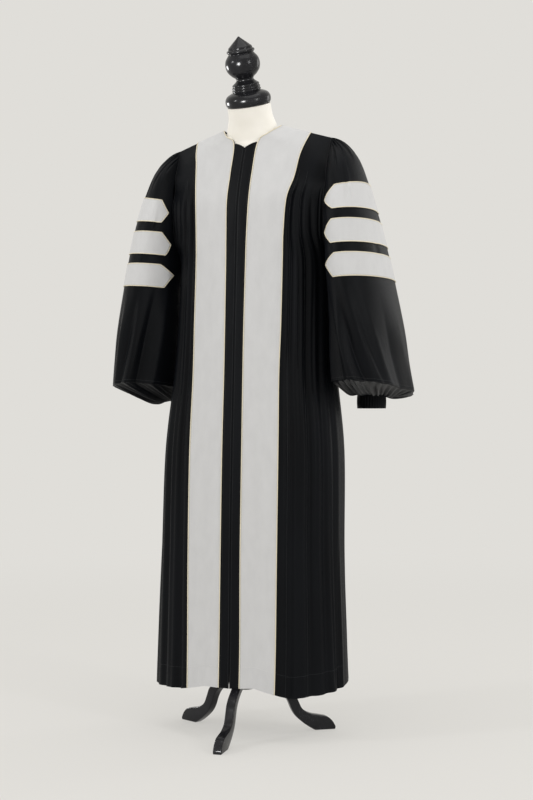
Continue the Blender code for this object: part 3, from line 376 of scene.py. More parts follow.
def velvetMaterial():
    look = {"colour": (0.560, 0.562, 0.570), "lighter": (0.640, 0.642, 0.650), "thread": 0.0011}
    made, tree, shader = newMaterial("greyVelvet", look["colour"], 0.86)
    shader.inputs["Sheen Weight"].default_value = 0.35
    shader.inputs["Sheen Roughness"].default_value = 0.45
    shader.inputs["Specular IOR Level"].default_value = 0.2
    nap = addNode(tree, "ShaderNodeTexNoise", {"Vector": mapped(tree, (40, 16, 1))}, Scale=1.0,
                  Detail=5.0, Roughness=0.6)
    pile = addNode(tree, "ShaderNodeTexNoise", {"Vector": mapped(tree)}, Scale=1300.0, Detail=2.0)
    mixed = addNode(tree, "ShaderNodeMath", operation="MULTIPLY_ADD")
    tree.links.new(pile.outputs["Fac"], mixed.inputs[0])
    mixed.inputs[1].default_value = 0.5
    tree.links.new(ranged(tree, nap.outputs["Fac"], 0.0, 0.5), mixed.inputs[2])
    tree.links.new(colourRamp(tree, mixed.outputs["Value"], look["colour"], look["lighter"]),
                   shader.inputs["Base Color"])
    weave = weaveHeight(tree, look["thread"], 0.0)
    height = addNode(tree, "ShaderNodeMath", operation="ADD")
    tree.links.new(weave, height.inputs[0])
    tree.links.new(pile.outputs["Fac"], height.inputs[1])
    bumped(tree, shader, height.outputs["Value"], 0.35, 0.0004)
    return made


def pipingMaterial():
    # colour is the painted shade in the twist's grooves, lighter is the cord's own ivory
    look = {"colour": (0.62, 0.55, 0.40), "lighter": (0.86, 0.79, 0.62), "twist": 0.0022}
    made, tree, shader = newMaterial("ivoryPipingCord", look["lighter"], 0.55)
    coords = mapped(tree, (look["twist"], 1, 1), math.radians(25))
    wave = addNode(tree, "ShaderNodeTexWave", {"Vector": coords}, Scale=wavePitch / look["twist"],
                   bands_direction="Y")
    # The twist's grooves are painted a darker ivory than the strands: painted shade, laid on the same wave
    # as the bump
    tree.links.new(colourRamp(tree, wave.outputs["Fac"], look["colour"], look["lighter"], 0.0, 0.5),
                   shader.inputs["Base Color"])
    bumped(tree, shader, wave.outputs["Fac"], 0.5, 0.0004)
    return made


def jerseyMaterial():
    look = {"colour": (0.93, 0.895, 0.82), "lighter": (0.97, 0.94, 0.88)}
    made, tree, shader = newMaterial("creamJersey", look["lighter"], 0.82)
    shader.inputs["Sheen Weight"].default_value = 0.2
    coords = mapped(tree, (1, 1, 1), 0.0, "Object")
    patch = addNode(tree, "ShaderNodeTexNoise", {"Vector": coords}, Scale=14.0, Detail=5.0)
    tree.links.new(colourRamp(tree, patch.outputs["Fac"], look["colour"], look["lighter"]),
                   shader.inputs["Base Color"])
    rib = addNode(tree, "ShaderNodeTexWave", {"Vector": coords}, Scale=190.0, Distortion=1.5,
                  bands_direction="Z")
    grain = addNode(tree, "ShaderNodeTexNoise", {"Vector": coords}, Scale=700.0)
    both = addNode(tree, "ShaderNodeMath", operation="ADD")
    tree.links.new(rib.outputs["Fac"], both.inputs[0])
    tree.links.new(grain.outputs["Fac"], both.inputs[1])
    bumped(tree, shader, both.outputs["Value"], 0.18, 0.0004)
    return made


def glossMaterial(name, grainScale, roughLow, roughHigh):
    made, tree, shader = newMaterial(name, (0.004, 0.004, 0.0045), 0.2)
    shader.inputs["Specular IOR Level"].default_value = 0.22
    coords = mapped(tree, grainScale, 0.0, "Object")
    grain = addNode(tree, "ShaderNodeTexNoise", {"Vector": coords}, Scale=30.0, Detail=4.0)
    tree.links.new(ranged(tree, grain.outputs["Fac"], roughLow, roughHigh), shader.inputs["Roughness"])
    tree.links.new(colourRamp(tree, grain.outputs["Fac"], (0.004, 0.004, 0.0045),
                              (0.0065, 0.0065, 0.0075)), shader.inputs["Base Color"])
    bumped(tree, shader, grain.outputs["Fac"], 0.05, 0.0006)
    return made


def threadMaterial(name, low, high):
    made, tree, shader = newMaterial(name, low, 0.5)
    wave = addNode(tree, "ShaderNodeTexWave", {"Vector": mapped(tree, source="Object")}, Scale=600.0)
    tree.links.new(colourRamp(tree, wave.outputs["Fac"], low, high), shader.inputs["Base Color"])
    return made


def zipTapeMaterial():
    made, tree, shader = newMaterial("blackZipTape", (0.012, 0.012, 0.013), 0.65)
    weave = weaveHeight(tree, 0.0009, 0.0)
    # The weave's hollows are painted darker than the threads: painted shade, laid on the same weave as the
    # bump
    tree.links.new(colourRamp(tree, weave, (0.007, 0.007, 0.008), (0.018, 0.018, 0.020)),
                   shader.inputs["Base Color"])
    bumped(tree, shader, weave, 0.4, 0.0003)
    return made


def zipToothMaterial():
    made, tree, shader = newMaterial("blackZipTeeth", (0.02, 0.02, 0.022), 0.3)
    grain = addNode(tree, "ShaderNodeTexNoise", {"Vector": mapped(tree, source="Object")}, Scale=400.0)
    tree.links.new(ranged(tree, grain.outputs["Fac"], 0.22, 0.45), shader.inputs["Roughness"])
    return made


blackCloth = gownClothMaterial()
greyVelvet = velvetMaterial()
ivoryCord = pipingMaterial()
creamJersey = jerseyMaterial()
turnedWood = glossMaterial("glossBlackWood", (1, 1, 0.25), 0.14, 0.26)
paintedMetal = glossMaterial("glossBlackPaint", (1, 1, 1), 0.12, 0.24)
blackThread = threadMaterial("blackThread", (0.006, 0.007, 0.009), (0.018, 0.020, 0.024))
greyThread = threadMaterial("greyThread", (0.62, 0.62, 0.63), (0.76, 0.76, 0.76))
zipCloth = zipTapeMaterial()
zipTeethPlastic = zipToothMaterial()


# The body's surface

def turnAt(x, section, back=False):
    power = section.roundBack if back else section.roundFront
    return np.arcsin(np.clip(x / section.halfWidth, 0, 1) ** (power / 2))


def sectionPoints(turns, section, back=False):
    depth = section.back if back else -section.front
    power = section.roundBack if back else section.roundFront
    x = section.halfWidth * np.sin(turns) ** (2 / power)
    y = section.centreY + depth * np.clip(np.cos(turns), 0, 1) ** (2 / power)
    return np.stack([x, y, section.height - section.slope * x], axis=-1)


def hemShift(points, side):
    turns = np.degrees(np.arctan2(points[..., 0] * side, sections[-1].centreY - points[..., 1]))
    height = np.interp(turns, hemWave[:, 0], hemWave[:, 1])
    fade = smoothStep((gown["hemFade"] - points[..., 2]) / (gown["hemFade"] - gown["hemHeight"]))
    return (height - gown["hemHeight"]) * fade


def draped(grid, places, rows, flutes, creases):
    # The grid with its flutes and creases pressed in
    normals = gridNormals(grid, fromAxis(grid))
    rows = np.broadcast_to(np.transpose(rows), grid.shape[1::-1]).T
    places = np.broadcast_to(places, rows.shape)
    depth = np.zeros(grid.shape[:2])
    for flute in flutes:
        share = rows / hemRow
        deepening = flute.depthTop + (flute.depthHem - flute.depthTop) * share
        away = (places - flute.place) / flute.width
        opening = smoothStep((rows - flute.start) / (flute.full - flute.start))
        sharp = flute.crease * np.exp(-(np.abs(away) * (4.5 - 2.5 * share)) ** 1.3) * (1 - 0.7 * share)
        ridge = 0.18 * deepening * np.exp(-((np.abs(away) - 1.25) / 0.50) ** 2)
        depth += opening * (deepening * np.exp(-away ** 2 * 1.5) + sharp - ridge)
    for crease in creases:
        along = np.clip((rows - crease.start) / (crease.end - crease.start), 0, 1)
        fade = np.sin(math.pi * along) ** 0.8
        centre = crease.place + crease.drift * along + 0.004 * np.sin(rows * 2.3 + crease.place * 40)
        away = (places - centre) / crease.width
        depth += crease.depth * fade * (np.exp(-away ** 2 * 2) - 0.5 * np.exp(-((away - 1.3) ** 2) * 2))
    soft = 0.0009 * np.sin(places * 31 + 1.3 * np.sin(rows * 0.8)) * smoothStep((rows - 3) / 3)
    return grid - normals * (depth + soft * np.sin(math.pi * places))[..., None]


def trimEdge(edge, neighbour, gap):
    step = neighbour - edge
    edge += step / np.linalg.norm(step, axis=-1, keepdims=True) * gap


def ridgeNormals(normals, grid):
    # Shared normals along the shoulder seams
    ridge = np.array([sections[0].slope, 0, 1]) / math.hypot(sections[0].slope, 1)
    onRidge = np.abs(grid[0, :, 0]) > gown["neckHalfWidth"] - 0.002
    for column in np.flatnonzero(onRidge):
        normals[0, column] = ridge * (np.sign(grid[0, column, 0]), 1, 1)
    return normals


bodyRows = fineRows([section.height for section in sections], gown["rowStep"], 7)


def frontGrid(side, bandShares, inset, blackShares, rows, creases):
    # A front's points: across the band first, then across the black cloth beside it
    control = []
    for section in sections:
        low, high = section.inner + inset, section.band - inset
        turns = turnAt(low + (high - low) * bandShares, section)
        outer, edge = turnAt(section.band, section), turnAt(section.edge, section)
        control.append(sectionPoints(np.concatenate([turns, outer + (edge - outer) * blackShares]),
                                     section))
    grid = alongRows(np.array(control), rows)
    places = np.concatenate([np.zeros(len(bandShares)), blackShares])
    grid = draped(grid, places, rows, frontFlutes, creases)
    grid[..., 2] += hemShift(grid, side)
    return grid


frontPieces = {
    "bandInset": 0.0024,       # where the velvet ends beside the piping
    "pipingInset": 0.0013,
    "pipingRadius": 0.00115,
    "edgePuff": 0.55,          # thickness of the velvet's sewn edge, as a share
}


def makeFront(name, side):
    creases = leftCreases if name == "left" else rightCreases
    band = np.linspace(0, 1, gown["velvetColumns"])
    black = np.linspace(0, 1, gown["blackColumns"] + 1)[1:]
    grid = frontGrid(side, band, 0.0, black, bodyRows, creases)
    normals = ridgeNormals(gridNormals(grid, fromAxis(grid)), grid)
    trimEdge(grid[:, -1], grid[:, -2], gown["seamGap"])
    trimEdge(grid[0], grid[1], gown["seamGap"])
    mirror = (side, 1, 1)
    panel = shell(f"frontPanel_{name}", grid * mirror, normals * mirror, -gown["cloth"], 0,
                  blackCloth, "black_cloth")
    made = {f"front_{name}": panel}
    first = gown["velvetColumns"] - 1
    blackLines = [liftedLine(grid, normals, column=first + round(flute.place * gown["blackColumns"]) - 3)
                  [bodyRows > flute.start] for flute in frontFlutes[:2]]
    blackLines.append(liftedLine(grid, normals, column=-4)[bodyRows < underarmRow])
    inset = frontPieces["bandInset"]
    velvet = frontGrid(side, band, inset, np.array([]), bodyRows, [])
    over = ridgeNormals(gridNormals(velvet, fromAxis(velvet)), velvet)
    trimEdge(velvet[0], velvet[1], gown["seamGap"])
    lift = gown["lift"]
    puff = np.ones(velvet.shape[:2])
    puff[:, [0, -1]] = frontPieces["edgePuff"]
    top = gown["velvet"] + lift + gown["threadLift"]
    velvetLines = [liftedLine(velvet, over, column=1, lift=top),
                   liftedLine(velvet, over, column=-2, lift=top),
                   hemThread(velvet, over, range(1, velvet.shape[1] - 1), top)]
    made[f"band_{name}"] = shell(f"velvetBand_{name}", velvet * mirror, over * mirror * puff[..., None],
                                 lift, lift + gown["velvet"], greyVelvet, "grey_velvet")
    edges = frontGrid(side, np.array([0.0, 0.02, 0.98, 1.0]), frontPieces["pipingInset"],
                      np.array([]), bodyRows, [])
    over = gridNormals(edges, fromAxis(edges))
    radius = frontPieces["pipingRadius"]
    for edge, column in (("inner", 0), ("outer", -1)):
        line = edges[:, column] + over[:, column] * (radius + lift)
        trimEdge(line[0:1], line[1:2], radius)
        made[f"piping_{edge}_{name}"] = cord(f"pipingCord_{edge}_{name}", line * mirror,
                                             over[:, column] * mirror, radius, ivoryCord, "ivory_piping")
    return made, [line * mirror for line in blackLines], [line * mirror for line in velvetLines]


placketSizes = {"halfGap": 0.0004, "slitHalfGap": 0.0010, "seam": 0.0004, "columns": 9,
                "zipLow": 0.172, "vRow": 2.0, "vDepth": 0.33, "edgeRoll": 0.0006}


def makePlacket(name, side):
    # The narrow flap beside the front opening, with its rolled edge
    sizes = placketSizes
    control = []
    for section in sections:
        x = np.linspace(sizes["halfGap"], section.inner - sizes["seam"], sizes["columns"])
        control.append(sectionPoints(turnAt(x, section), section))
    top = sizes["vRow"] + sizes["vDepth"] * np.linspace(1, 0, sizes["columns"])
    below = bodyRows[bodyRows > sizes["vRow"] + sizes["vDepth"] + 0.05]
    upper = top + np.linspace(0, 1, 8)[:-1, None] * (below[0] - top)
    rows = np.concatenate([upper, np.repeat(below[:, None], sizes["columns"], axis=1)])
    grid = alongRows(np.array(control), rows)
    grid[..., 2] += hemShift(grid, side)
    share = np.linspace(0, 1, sizes["columns"])
    normals = gridNormals(grid, fromAxis(grid))
    roll = sizes["edgeRoll"] * np.sin(math.pi * share) ** 0.6
    wave = 0.0003 * np.sin(grid[..., 2] * 47 + 2 * share) * np.sin(math.pi * share)
    grid = grid + normals * (roll + wave)[..., None]
    slit = smoothStep((sizes["zipLow"] - grid[:, 0, 2]) / 0.02)
    grid[:, 0, 0] += (sizes["slitHalfGap"] - sizes["halfGap"]) * slit
    mirror = (side, 1, 1)
    return shell(f"placketFlap_{name}", grid * mirror, normals * mirror, -gown["cloth"], 0,
                 blackCloth, "black_cloth"), grid * mirror, normals * mirror


zipSizes = {"halfWidth": 0.012, "topRow": 2.62, "low": 0.172, "depth": 0.0038, "tape": 0.0009,
            "pitch": 0.0021, "toothWidth": 0.0034, "toothHeight": 0.0010, "toothDepth": 0.0012}


def makeZipTape():
    sizes = zipSizes
    control = []
    for section in sections:
        half = sectionPoints(turnAt(np.linspace(0, sizes["halfWidth"], 5), section), section)
        control.append(np.concatenate([half[:0:-1] * (-1, 1, 1), half]))
    rows = np.concatenate([[sizes["topRow"]], bodyRows[bodyRows > sizes["topRow"] + 0.02]])
    grid = alongRows(np.array(control), rows)
    middle = grid.shape[1] // 2
    grid = grid[grid[:, middle, 2] > sizes["low"]]
    normals = gridNormals(grid, fromAxis(grid))
    tape = shell("zipTape", grid, normals, -sizes["depth"], -sizes["depth"] + sizes["tape"],
                 zipCloth, "black_zip")
    depth = sizes["depth"] - sizes["tape"] - sizes["toothDepth"] / 2
    line = liftedLine(grid, normals, column=middle, lift=-depth)
    return tape, line


def backPlaces():
    return np.linspace(0, 1, gown["backColumns"])


def backControl(places):
    control = []
    for section in sections:
        edge = turnAt(section.edge, section, True)
        control.append(sectionPoints(edge * places, section, True))
    control = np.array(control)
    across = control[0, :, 0] / gown["neckHalfWidth"]
    neck = np.sqrt(np.clip(1 - across ** 2, 0, 1))
    for number, fade in enumerate([1.0, 0.45, 0.1]):
        control[number, :, 1] += gown["neckBack"] * neck * fade
        control[number, :, 2] += gown["neckRise"] * neck * fade
    return control


def backHalves(places, rows):
    # Both halves of a grid on the back, joined at the centre
    half = draped(alongRows(backControl(places), rows), places, rows, backFlutes, backCreases)
    halves = {}
    for name, side in sides.items():
        grid = half.copy()
        grid[..., 2] += hemShift(grid, side)
        halves[name] = grid * (side, 1, 1)
    return np.concatenate([halves["right"][:, :0:-1], halves["left"]], axis=1)


backBand = {"rows": 2.7, "round": 0.98, "columns": 48, "steps": 30, "radius": 0.00115}


def makeBack():
    top = sections[0]
    edge = turnAt(top.edge, top, True)
    neck = turnAt(gown["neckHalfWidth"], top, True) / edge
    places = np.unique(np.append(backPlaces(), neck))
    grid = backHalves(places, bodyRows)
    normals = ridgeNormals(gridNormals(grid, fromAxis(grid)), grid)
    trimEdge(grid[:, -1], grid[:, -2], gown["seamGap"])
    trimEdge(grid[:, 0], grid[:, 1], gown["seamGap"])
    trimEdge(grid[0], grid[1], gown["seamGap"])
    made = {"back": shell("backPanel", grid, normals, -gown["cloth"], 0, blackCloth, "black_cloth")}

    # Velvet round the nape: each column runs down to a rounded lower edge
    bandEnd = turnAt(top.band - frontPieces["bandInset"], top, True) / edge
    places = np.unique(np.append(np.linspace(0, bandEnd, backBand["columns"]), neck))
    reach = places / bandEnd * backBand["round"]
    low = backBand["rows"] * np.sqrt(1 - reach ** 2)
    rows = np.linspace(0, 1, backBand["steps"])[:, None] * low
    velvet = backHalves(places, rows)
    over = ridgeNormals(gridNormals(velvet, fromAxis(velvet, 0.5)), velvet)
    trimEdge(velvet[0], velvet[1], gown["seamGap"])
    lift = gown["lift"]
    made["band_back"] = shell("velvetNape", velvet, over, lift, lift + gown["velvet"], greyVelvet,
                              "grey_velvet")
    radius = backBand["radius"]
    line = velvet[-1] + over[-1] * (radius + lift)
    beyond = velvet[-1] - velvet[-2]
    line += beyond / np.linalg.norm(beyond, axis=1, keepdims=True) * radius
    ends = velvet[0, [0, -1]] + over[0, [0, -1]] * (radius + lift)
    aside = np.array([[-radius, 0, 0], [radius, 0, 0]])
    line = np.concatenate([[ends[0] + aside[0]], line, [ends[1] + aside[1]]])
    lineOver = np.concatenate([over[:1, 0], over[-1], over[:1, -1]])
    made["piping_back"] = cord("pipingCord_back", line, lineOver, radius, ivoryCord, "ivory_piping")
    nape = np.abs(velvet[0, :, 0]) < gown["neckHalfWidth"] - 0.0018
    rise = velvet[0, nape] - velvet[1, nape]
    line = velvet[0, nape] + rise / np.linalg.norm(rise, axis=1, keepdims=True) * (radius + lift)
    made["piping_nape"] = cord("pipingCord_nape", line, over[0, nape], radius, ivoryCord,
                               "ivory_piping")
    return made, grid, normals


# The sleeves

Ring = namedtuple("Ring", "height outerRise frontRise centreX centreY halfWidth halfDepth reach")
rings = [
    Ring(1.360, 0.032, 0.000, 0.215, 0.054, 0.047, 0.066, 101),
    Ring(1.301, 0.017, 0.000, 0.235, 0.055, 0.057, 0.088, 121),
    Ring(1.243, 0.009, 0.000, 0.250, 0.056, 0.059, 0.106, 141),
    Ring(1.220, 0.007, 0.000, 0.254, 0.058, 0.061, 0.113, 147),
    Ring(1.163, 0.006, 0.000, 0.263, 0.062, 0.065, 0.124, 158),
    Ring(1.140, 0.006, 0.000, 0.266, 0.064, 0.067, 0.128, 167),
    Ring(1.082, 0.006, 0.000, 0.274, 0.068, 0.070, 0.137, 180),
    Ring(0.980, 0.000, 0.004, 0.286, 0.077, 0.078, 0.150, 180),
    Ring(0.900, -0.002, 0.010, 0.292, 0.086, 0.081, 0.161, 180),
    Ring(0.834, -0.004, 0.017, 0.298, 0.095, 0.084, 0.170, 180),
]
sleeveSizes = {
    "capTop": 1.405, "capSwell": 0.006, "seam": 0.0005, "seamBlend": 0.16,
    "gathers": 14, "gatherDepth": 0.0058, "columns": 224, "rowStep": 0.0055,
    "clearance": 0.005, "capHeight": 1.44, "rimSewing": -3,
}
# Folds down a sleeve: around is from 0 at the underarm seam, by the front, to 1
SleeveFold = namedtuple("SleeveFold", "aroundTop aroundRim start full width depth")
commonFolds = [SleeveFold(0.42, 0.47, 7.2, 9.0, 0.035, 0.006),
               SleeveFold(0.63, 0.60, 7.0, 9.0, 0.035, 0.007),
               SleeveFold(0.80, 0.76, 6.8, 8.5, 0.035, 0.009)]
sleeveFolds = {
    "left": [SleeveFold(0.13, 0.20, 6.6, 8.5, 0.030, 0.011),
             SleeveFold(0.20, 0.33, 6.8, 8.5, 0.028, 0.010),
             SleeveFold(0.09, 0.11, 6.4, 7.6, 0.016, 0.004),
             SleeveFold(0.30, 0.39, 7.0, 8.8, 0.018, 0.003)] + commonFolds,
    "right": [SleeveFold(0.13, 0.19, 6.6, 8.5, 0.030, 0.010),
              SleeveFold(0.21, 0.29, 6.8, 8.5, 0.030, 0.008),
              SleeveFold(0.31, 0.36, 7.0, 8.8, 0.022, 0.005),
              SleeveFold(0.36, 0.42, 7.4, 9.2, 0.014, 0.003)] + commonFolds,
}
# Short creases where the sleeve bends at the bars: around, row, length, tilt, depth
Pull = namedtuple("Pull", "around row reach tilt width depth")
sleevePulls = [Pull(0.10, 3.4, 1.0, 0.020, 0.012, 0.0020), Pull(0.17, 5.4, 0.9, 0.025, 0.014, 0.0016),
               Pull(0.28, 1.9, 1.0, 0.010, 0.014, 0.0018), Pull(0.88, 3.4, 1.1, -0.020, 0.014, 0.0020),
               Pull(0.80, 5.4, 0.9, -0.02, 0.016, 0.0018), Pull(0.70, 1.9, 1.0, -0.01, 0.014, 0.0018),
               Pull(0.45, 5.5, 1.2, 0.006, 0.016, 0.0016), Pull(0.57, 3.5, 1.1, -0.006, 0.016, 0.0016)]


def armholeEdges():
    # The armhole's front and back edges, from the shoulder seam down to the underarm
    rows = np.linspace(0, underarmRow, 121)
    control = np.array([sectionPoints(turnAt(np.array([section.edge]), section), section)
                        for section in sections])
    front = alongRows(control, rows)[:, 0]
    back = alongRows(backControl(np.array([1.0])), rows)[:, 0]
    return front, back


def edgeAt(height, edge):
    return np.stack([np.interp(-height, -edge[:, 2], edge[:, axis]) for axis in range(3)], axis=-1)


def bodyReach(y, height):
    # The body's half width at a depth and a height below the underarm
    table = np.array(sections[underarmRow:])

    def field(name):
        return np.interp(-height, -table[:, 0], table[:, Section._fields.index(name)])

    offset = y - field("centreY")
    depth = np.where(offset < 0, field("front"), field("back"))
    power = np.where(offset < 0, field("roundFront"), field("roundBack"))
    share = np.clip(np.abs(offset) / depth, 0, 1)
    return field("halfWidth") * (1 - share ** power) ** (1 / power)


def ringPoints(ring, around, edges):
    angles = np.radians(ring.reach * (1 - 2 * around))
    x = ring.centreX + ring.halfWidth * np.cos(angles)
    y = ring.centreY - ring.halfDepth * np.sin(angles)
    z = (ring.height + ring.outerRise * np.sin(np.pi * around) ** 2
         + ring.frontRise * np.sin(2 * np.pi * around))
    points = np.stack([x, y, z], axis=-1)
    if ring.reach < 180:
        for edge, start, share in ((edges[0], 0, around), (edges[1], -1, 1 - around)):
            seam = edgeAt(ring.height, edge) + (sleeveSizes["seam"], 0, 0)
            fade = np.clip(1 - share / sleeveSizes["seamBlend"], 0, 1) ** 2
            points = points + (seam - points[start]) * fade[:, None]
    else:
        clearance = sleeveSizes["clearance"]
        least = bodyReach(y, z) + clearance
        excess = points[:, 0] - least
        points[:, 0] = least + (excess + np.sqrt(excess ** 2 + clearance ** 2 / 4)) / 2
    return points


def capArc(around, edges):
    top = edges[0][0, 2]
    capTop = sleeveSizes["capTop"]
    height = capTop + (top - capTop) * (1 - (2 * around - 1) ** 2)
    front, back = edgeAt(height, edges[0]), edgeAt(height, edges[1])
    return np.where(around[:, None] < 0.5, front, back) + (sleeveSizes["seam"], 0, 0)


def gatherDepths(around, rows):
    # Uneven gathers that run down from the cap and die out above the first bar
    count = sleeveSizes["gathers"]
    phase = around * count + 0.16 * np.sin(around * 23.0) + 0.10 * np.sin(around * 57.0 + 1.0)
    trough = (0.5 - 0.5 * np.cos(2 * np.pi * phase)) ** 1.5
    number = np.floor(phase)
    size = 0.70 + 0.30 * np.sin(2.4 * number + 0.7)
    length = 1.45 + 0.45 * np.sin(3.7 * number + 0.4)
    ends = smoothStep((around - 0.045) / 0.05) * smoothStep((0.955 - around) / 0.05)
    fade = smoothStep(rows / 0.25) * smoothStep((length - rows) / 1.1)
    return sleeveSizes["gatherDepth"] * trough * size * ends * fade


def sleeveGrid(name, side):
    sizes = sleeveSizes
    around = np.linspace(0, 1, sizes["columns"] + 1)
    edges = armholeEdges()
    control = np.array([capArc(around, edges)] + [ringPoints(ring, around, edges) for ring in rings])
    heights = [sizes["capHeight"]] + [ring.height for ring in rings]
    rowPlaces = fineRows(heights, sizes["rowStep"], 5)
    grid = alongRows(control, rowPlaces)
    rows = rowPlaces[:, None]
    grid[..., 2] += sizes["capSwell"] * np.sin(np.pi * np.clip(rows, 0, 1)) * np.sin(np.pi * around)
    middle = grid[-1].mean(axis=0)
    normals = gridNormals(grid, (grid - middle) * (1, 1, 0))
    depth = gatherDepths(around, rows)
    for fold in sleeveFolds[name]:
        share = np.clip((rows - fold.start) / (len(rings) - fold.start), 0, 1)
        centre = fold.aroundTop + (fold.aroundRim - fold.aroundTop) * share
        away = (around - centre) / fold.width
        shape = np.exp(-away ** 2) + 0.35 * np.exp(-(np.abs(away) * 3.2) ** 1.4)
        shape = shape - 0.35 * np.exp(-((np.abs(away) - 1.9) / 0.55) ** 2)
        depth = depth + fold.depth * shape * smoothStep((rows - fold.start) / (fold.full - fold.start))
    for pull in sleevePulls:
        along = (rows - pull.row) / pull.reach
        fade = np.exp(-along ** 2 * 2)
        away = (around - pull.around - pull.tilt * along) / pull.width
        depth = depth + pull.depth * fade * (np.exp(-away ** 2) - 0.5 * np.exp(-((away - 1.6) ** 2)))
    grid = grid - normals * depth[..., None]
    trimEdge(grid[:, 0], grid[:, 1], gown["seamGap"])
    trimEdge(grid[:, -1], grid[:, -2], gown["seamGap"])
    normals = gridNormals(grid, (grid - middle) * (1, 1, 0))
    normals[0, :, 0] = 0
    normals /= np.linalg.norm(normals, axis=-1, keepdims=True)
    mirror = (side, 1, 1)
    return grid * mirror, normals * mirror, rowPlaces


def onGrid(source, row, column):
    # A point between a grid's own points
    first, start = int(min(row, len(source) - 1.001)), int(min(column, source.shape[1] - 1.001))
    down, across = row - first, column - start
    upper = source[first, start] * (1 - across) + source[first, start + 1] * across
    lower = source[first + 1, start] * (1 - across) + source[first + 1, start + 1] * across
    return upper * (1 - down) + lower * down


Bar = namedtuple("Bar", "topRow tip corner")
bars = {"left": [Bar(2, 0.0592, 0.1725), Bar(4, 0.0949, 0.1725), Bar(6, 0.1307, 0.2082)],
        "right": [Bar(2, 0.0200, 0.0653), Bar(4, 0.0280, 0.0653), Bar(6, 0.0500, 0.1010)]}
barSizes = {"height": 0.058, "steps": 12, "inset": 0.0024, "pipingInset": 0.0013,
            "pipingRadius": 0.00115, "pointDraw": 3.6, "lift": 0.0004, "columns": 110}


def makeBar(name, grid, normals, rowPlaces, bar):
    sizes = barSizes
    columns = grid.shape[1] - 1

    def onSleeve(source, place, down):
        row = np.interp(bar.topRow + down, rowPlaces, np.arange(len(rowPlaces)))
        return onGrid(source, row, place * columns)

    def outline(inset, count):
        point = inset * sizes["pointDraw"]
        tip, corner = bar.tip + point, bar.corner + point / 2
        places = np.unique(np.concatenate([
            np.linspace(tip, corner, 9), np.linspace(corner, 1 - corner, count),
            np.linspace(1 - corner, 1 - tip, 9)]))
        ends = np.minimum(places, 1 - places)
        full = 0.5 - inset / sizes["height"]
        return places, full * np.clip((ends - tip) / (corner - tip), 0, 1)

    places, halves = outline(sizes["inset"], sizes["columns"])
    halves = np.maximum(halves, 0.004)
    shares = np.linspace(-1, 1, sizes["steps"])
    spots = [[(place, 0.5 + half * share) for place, half in zip(places, halves)] for share in shares]
    patch = np.array([[onSleeve(grid, *spot) for spot in line] for line in spots])
    over = np.array([[onSleeve(normals, *spot) for spot in line] for line in spots])
    over /= np.linalg.norm(over, axis=-1, keepdims=True)
    lift = sizes["lift"]
    velvet = shell(f"velvetBar_{name}", patch, over, lift, lift + gown["velvet"], greyVelvet,
                   "grey_velvet")
    places, halves = outline(sizes["pipingInset"], sizes["columns"])
    upper = [(place, 0.5 - half) for place, half in zip(places, halves)]
    lower = [(place, 0.5 + half) for place, half in zip(places, halves)][-2:0:-1]
    line = np.array([onSleeve(grid, *spot) for spot in upper + lower])
    over = np.array([onSleeve(normals, *spot) for spot in upper + lower])
    over /= np.linalg.norm(over, axis=-1, keepdims=True)
    radius = sizes["pipingRadius"]
    edging = cord(f"pipingCord_bar_{name}", line + over * (lift + radius), over, radius, ivoryCord,
                  "ivory_piping", closed=True, around=6)
    return {f"bar_{name}": velvet, f"piping_bar_{name}": edging}


Hollow = namedtuple("Hollow", "share sag")
underRows = [Hollow(0.30, 0.55), Hollow(0.65, 1.0), Hollow(1.0, 0.0)]
underSizes = {"sag": {"left": 0.010, "right": 0.024}, "tuck": 0.006, "span": 0.09, "steps": 34,
              "gathers": 34, "gatherDepth": 0.0042}
cuffSizes = {"centre": (0.2575, 0.180), "halfWidth": 0.036, "halfDepth": 0.030, "top": 0.818,
             "bottom": 0.784, "wall": 0.0022, "columns": 192, "gathers": 32, "depth": 0.0009}


def oval(around, halfWidth, halfDepth, centre, height):
    angles = np.pi * (1 - 2 * around)
    return np.stack([centre[0] + halfWidth * np.cos(angles), centre[1] - halfDepth * np.sin(angles),
                     np.full_like(around, height)], axis=-1)


def ringNormals(grid, outward):
    # Normals of a grid whose columns close on themselves
    across = np.roll(grid, -1, axis=1) - np.roll(grid, 1, axis=1)
    normals = np.cross(across, np.gradient(grid, axis=0))
    normals /= np.maximum(np.linalg.norm(normals, axis=-1, keepdims=True), 1e-12)
    if np.sum(normals[0] * outward) < 0:
        normals = -normals
    return normals


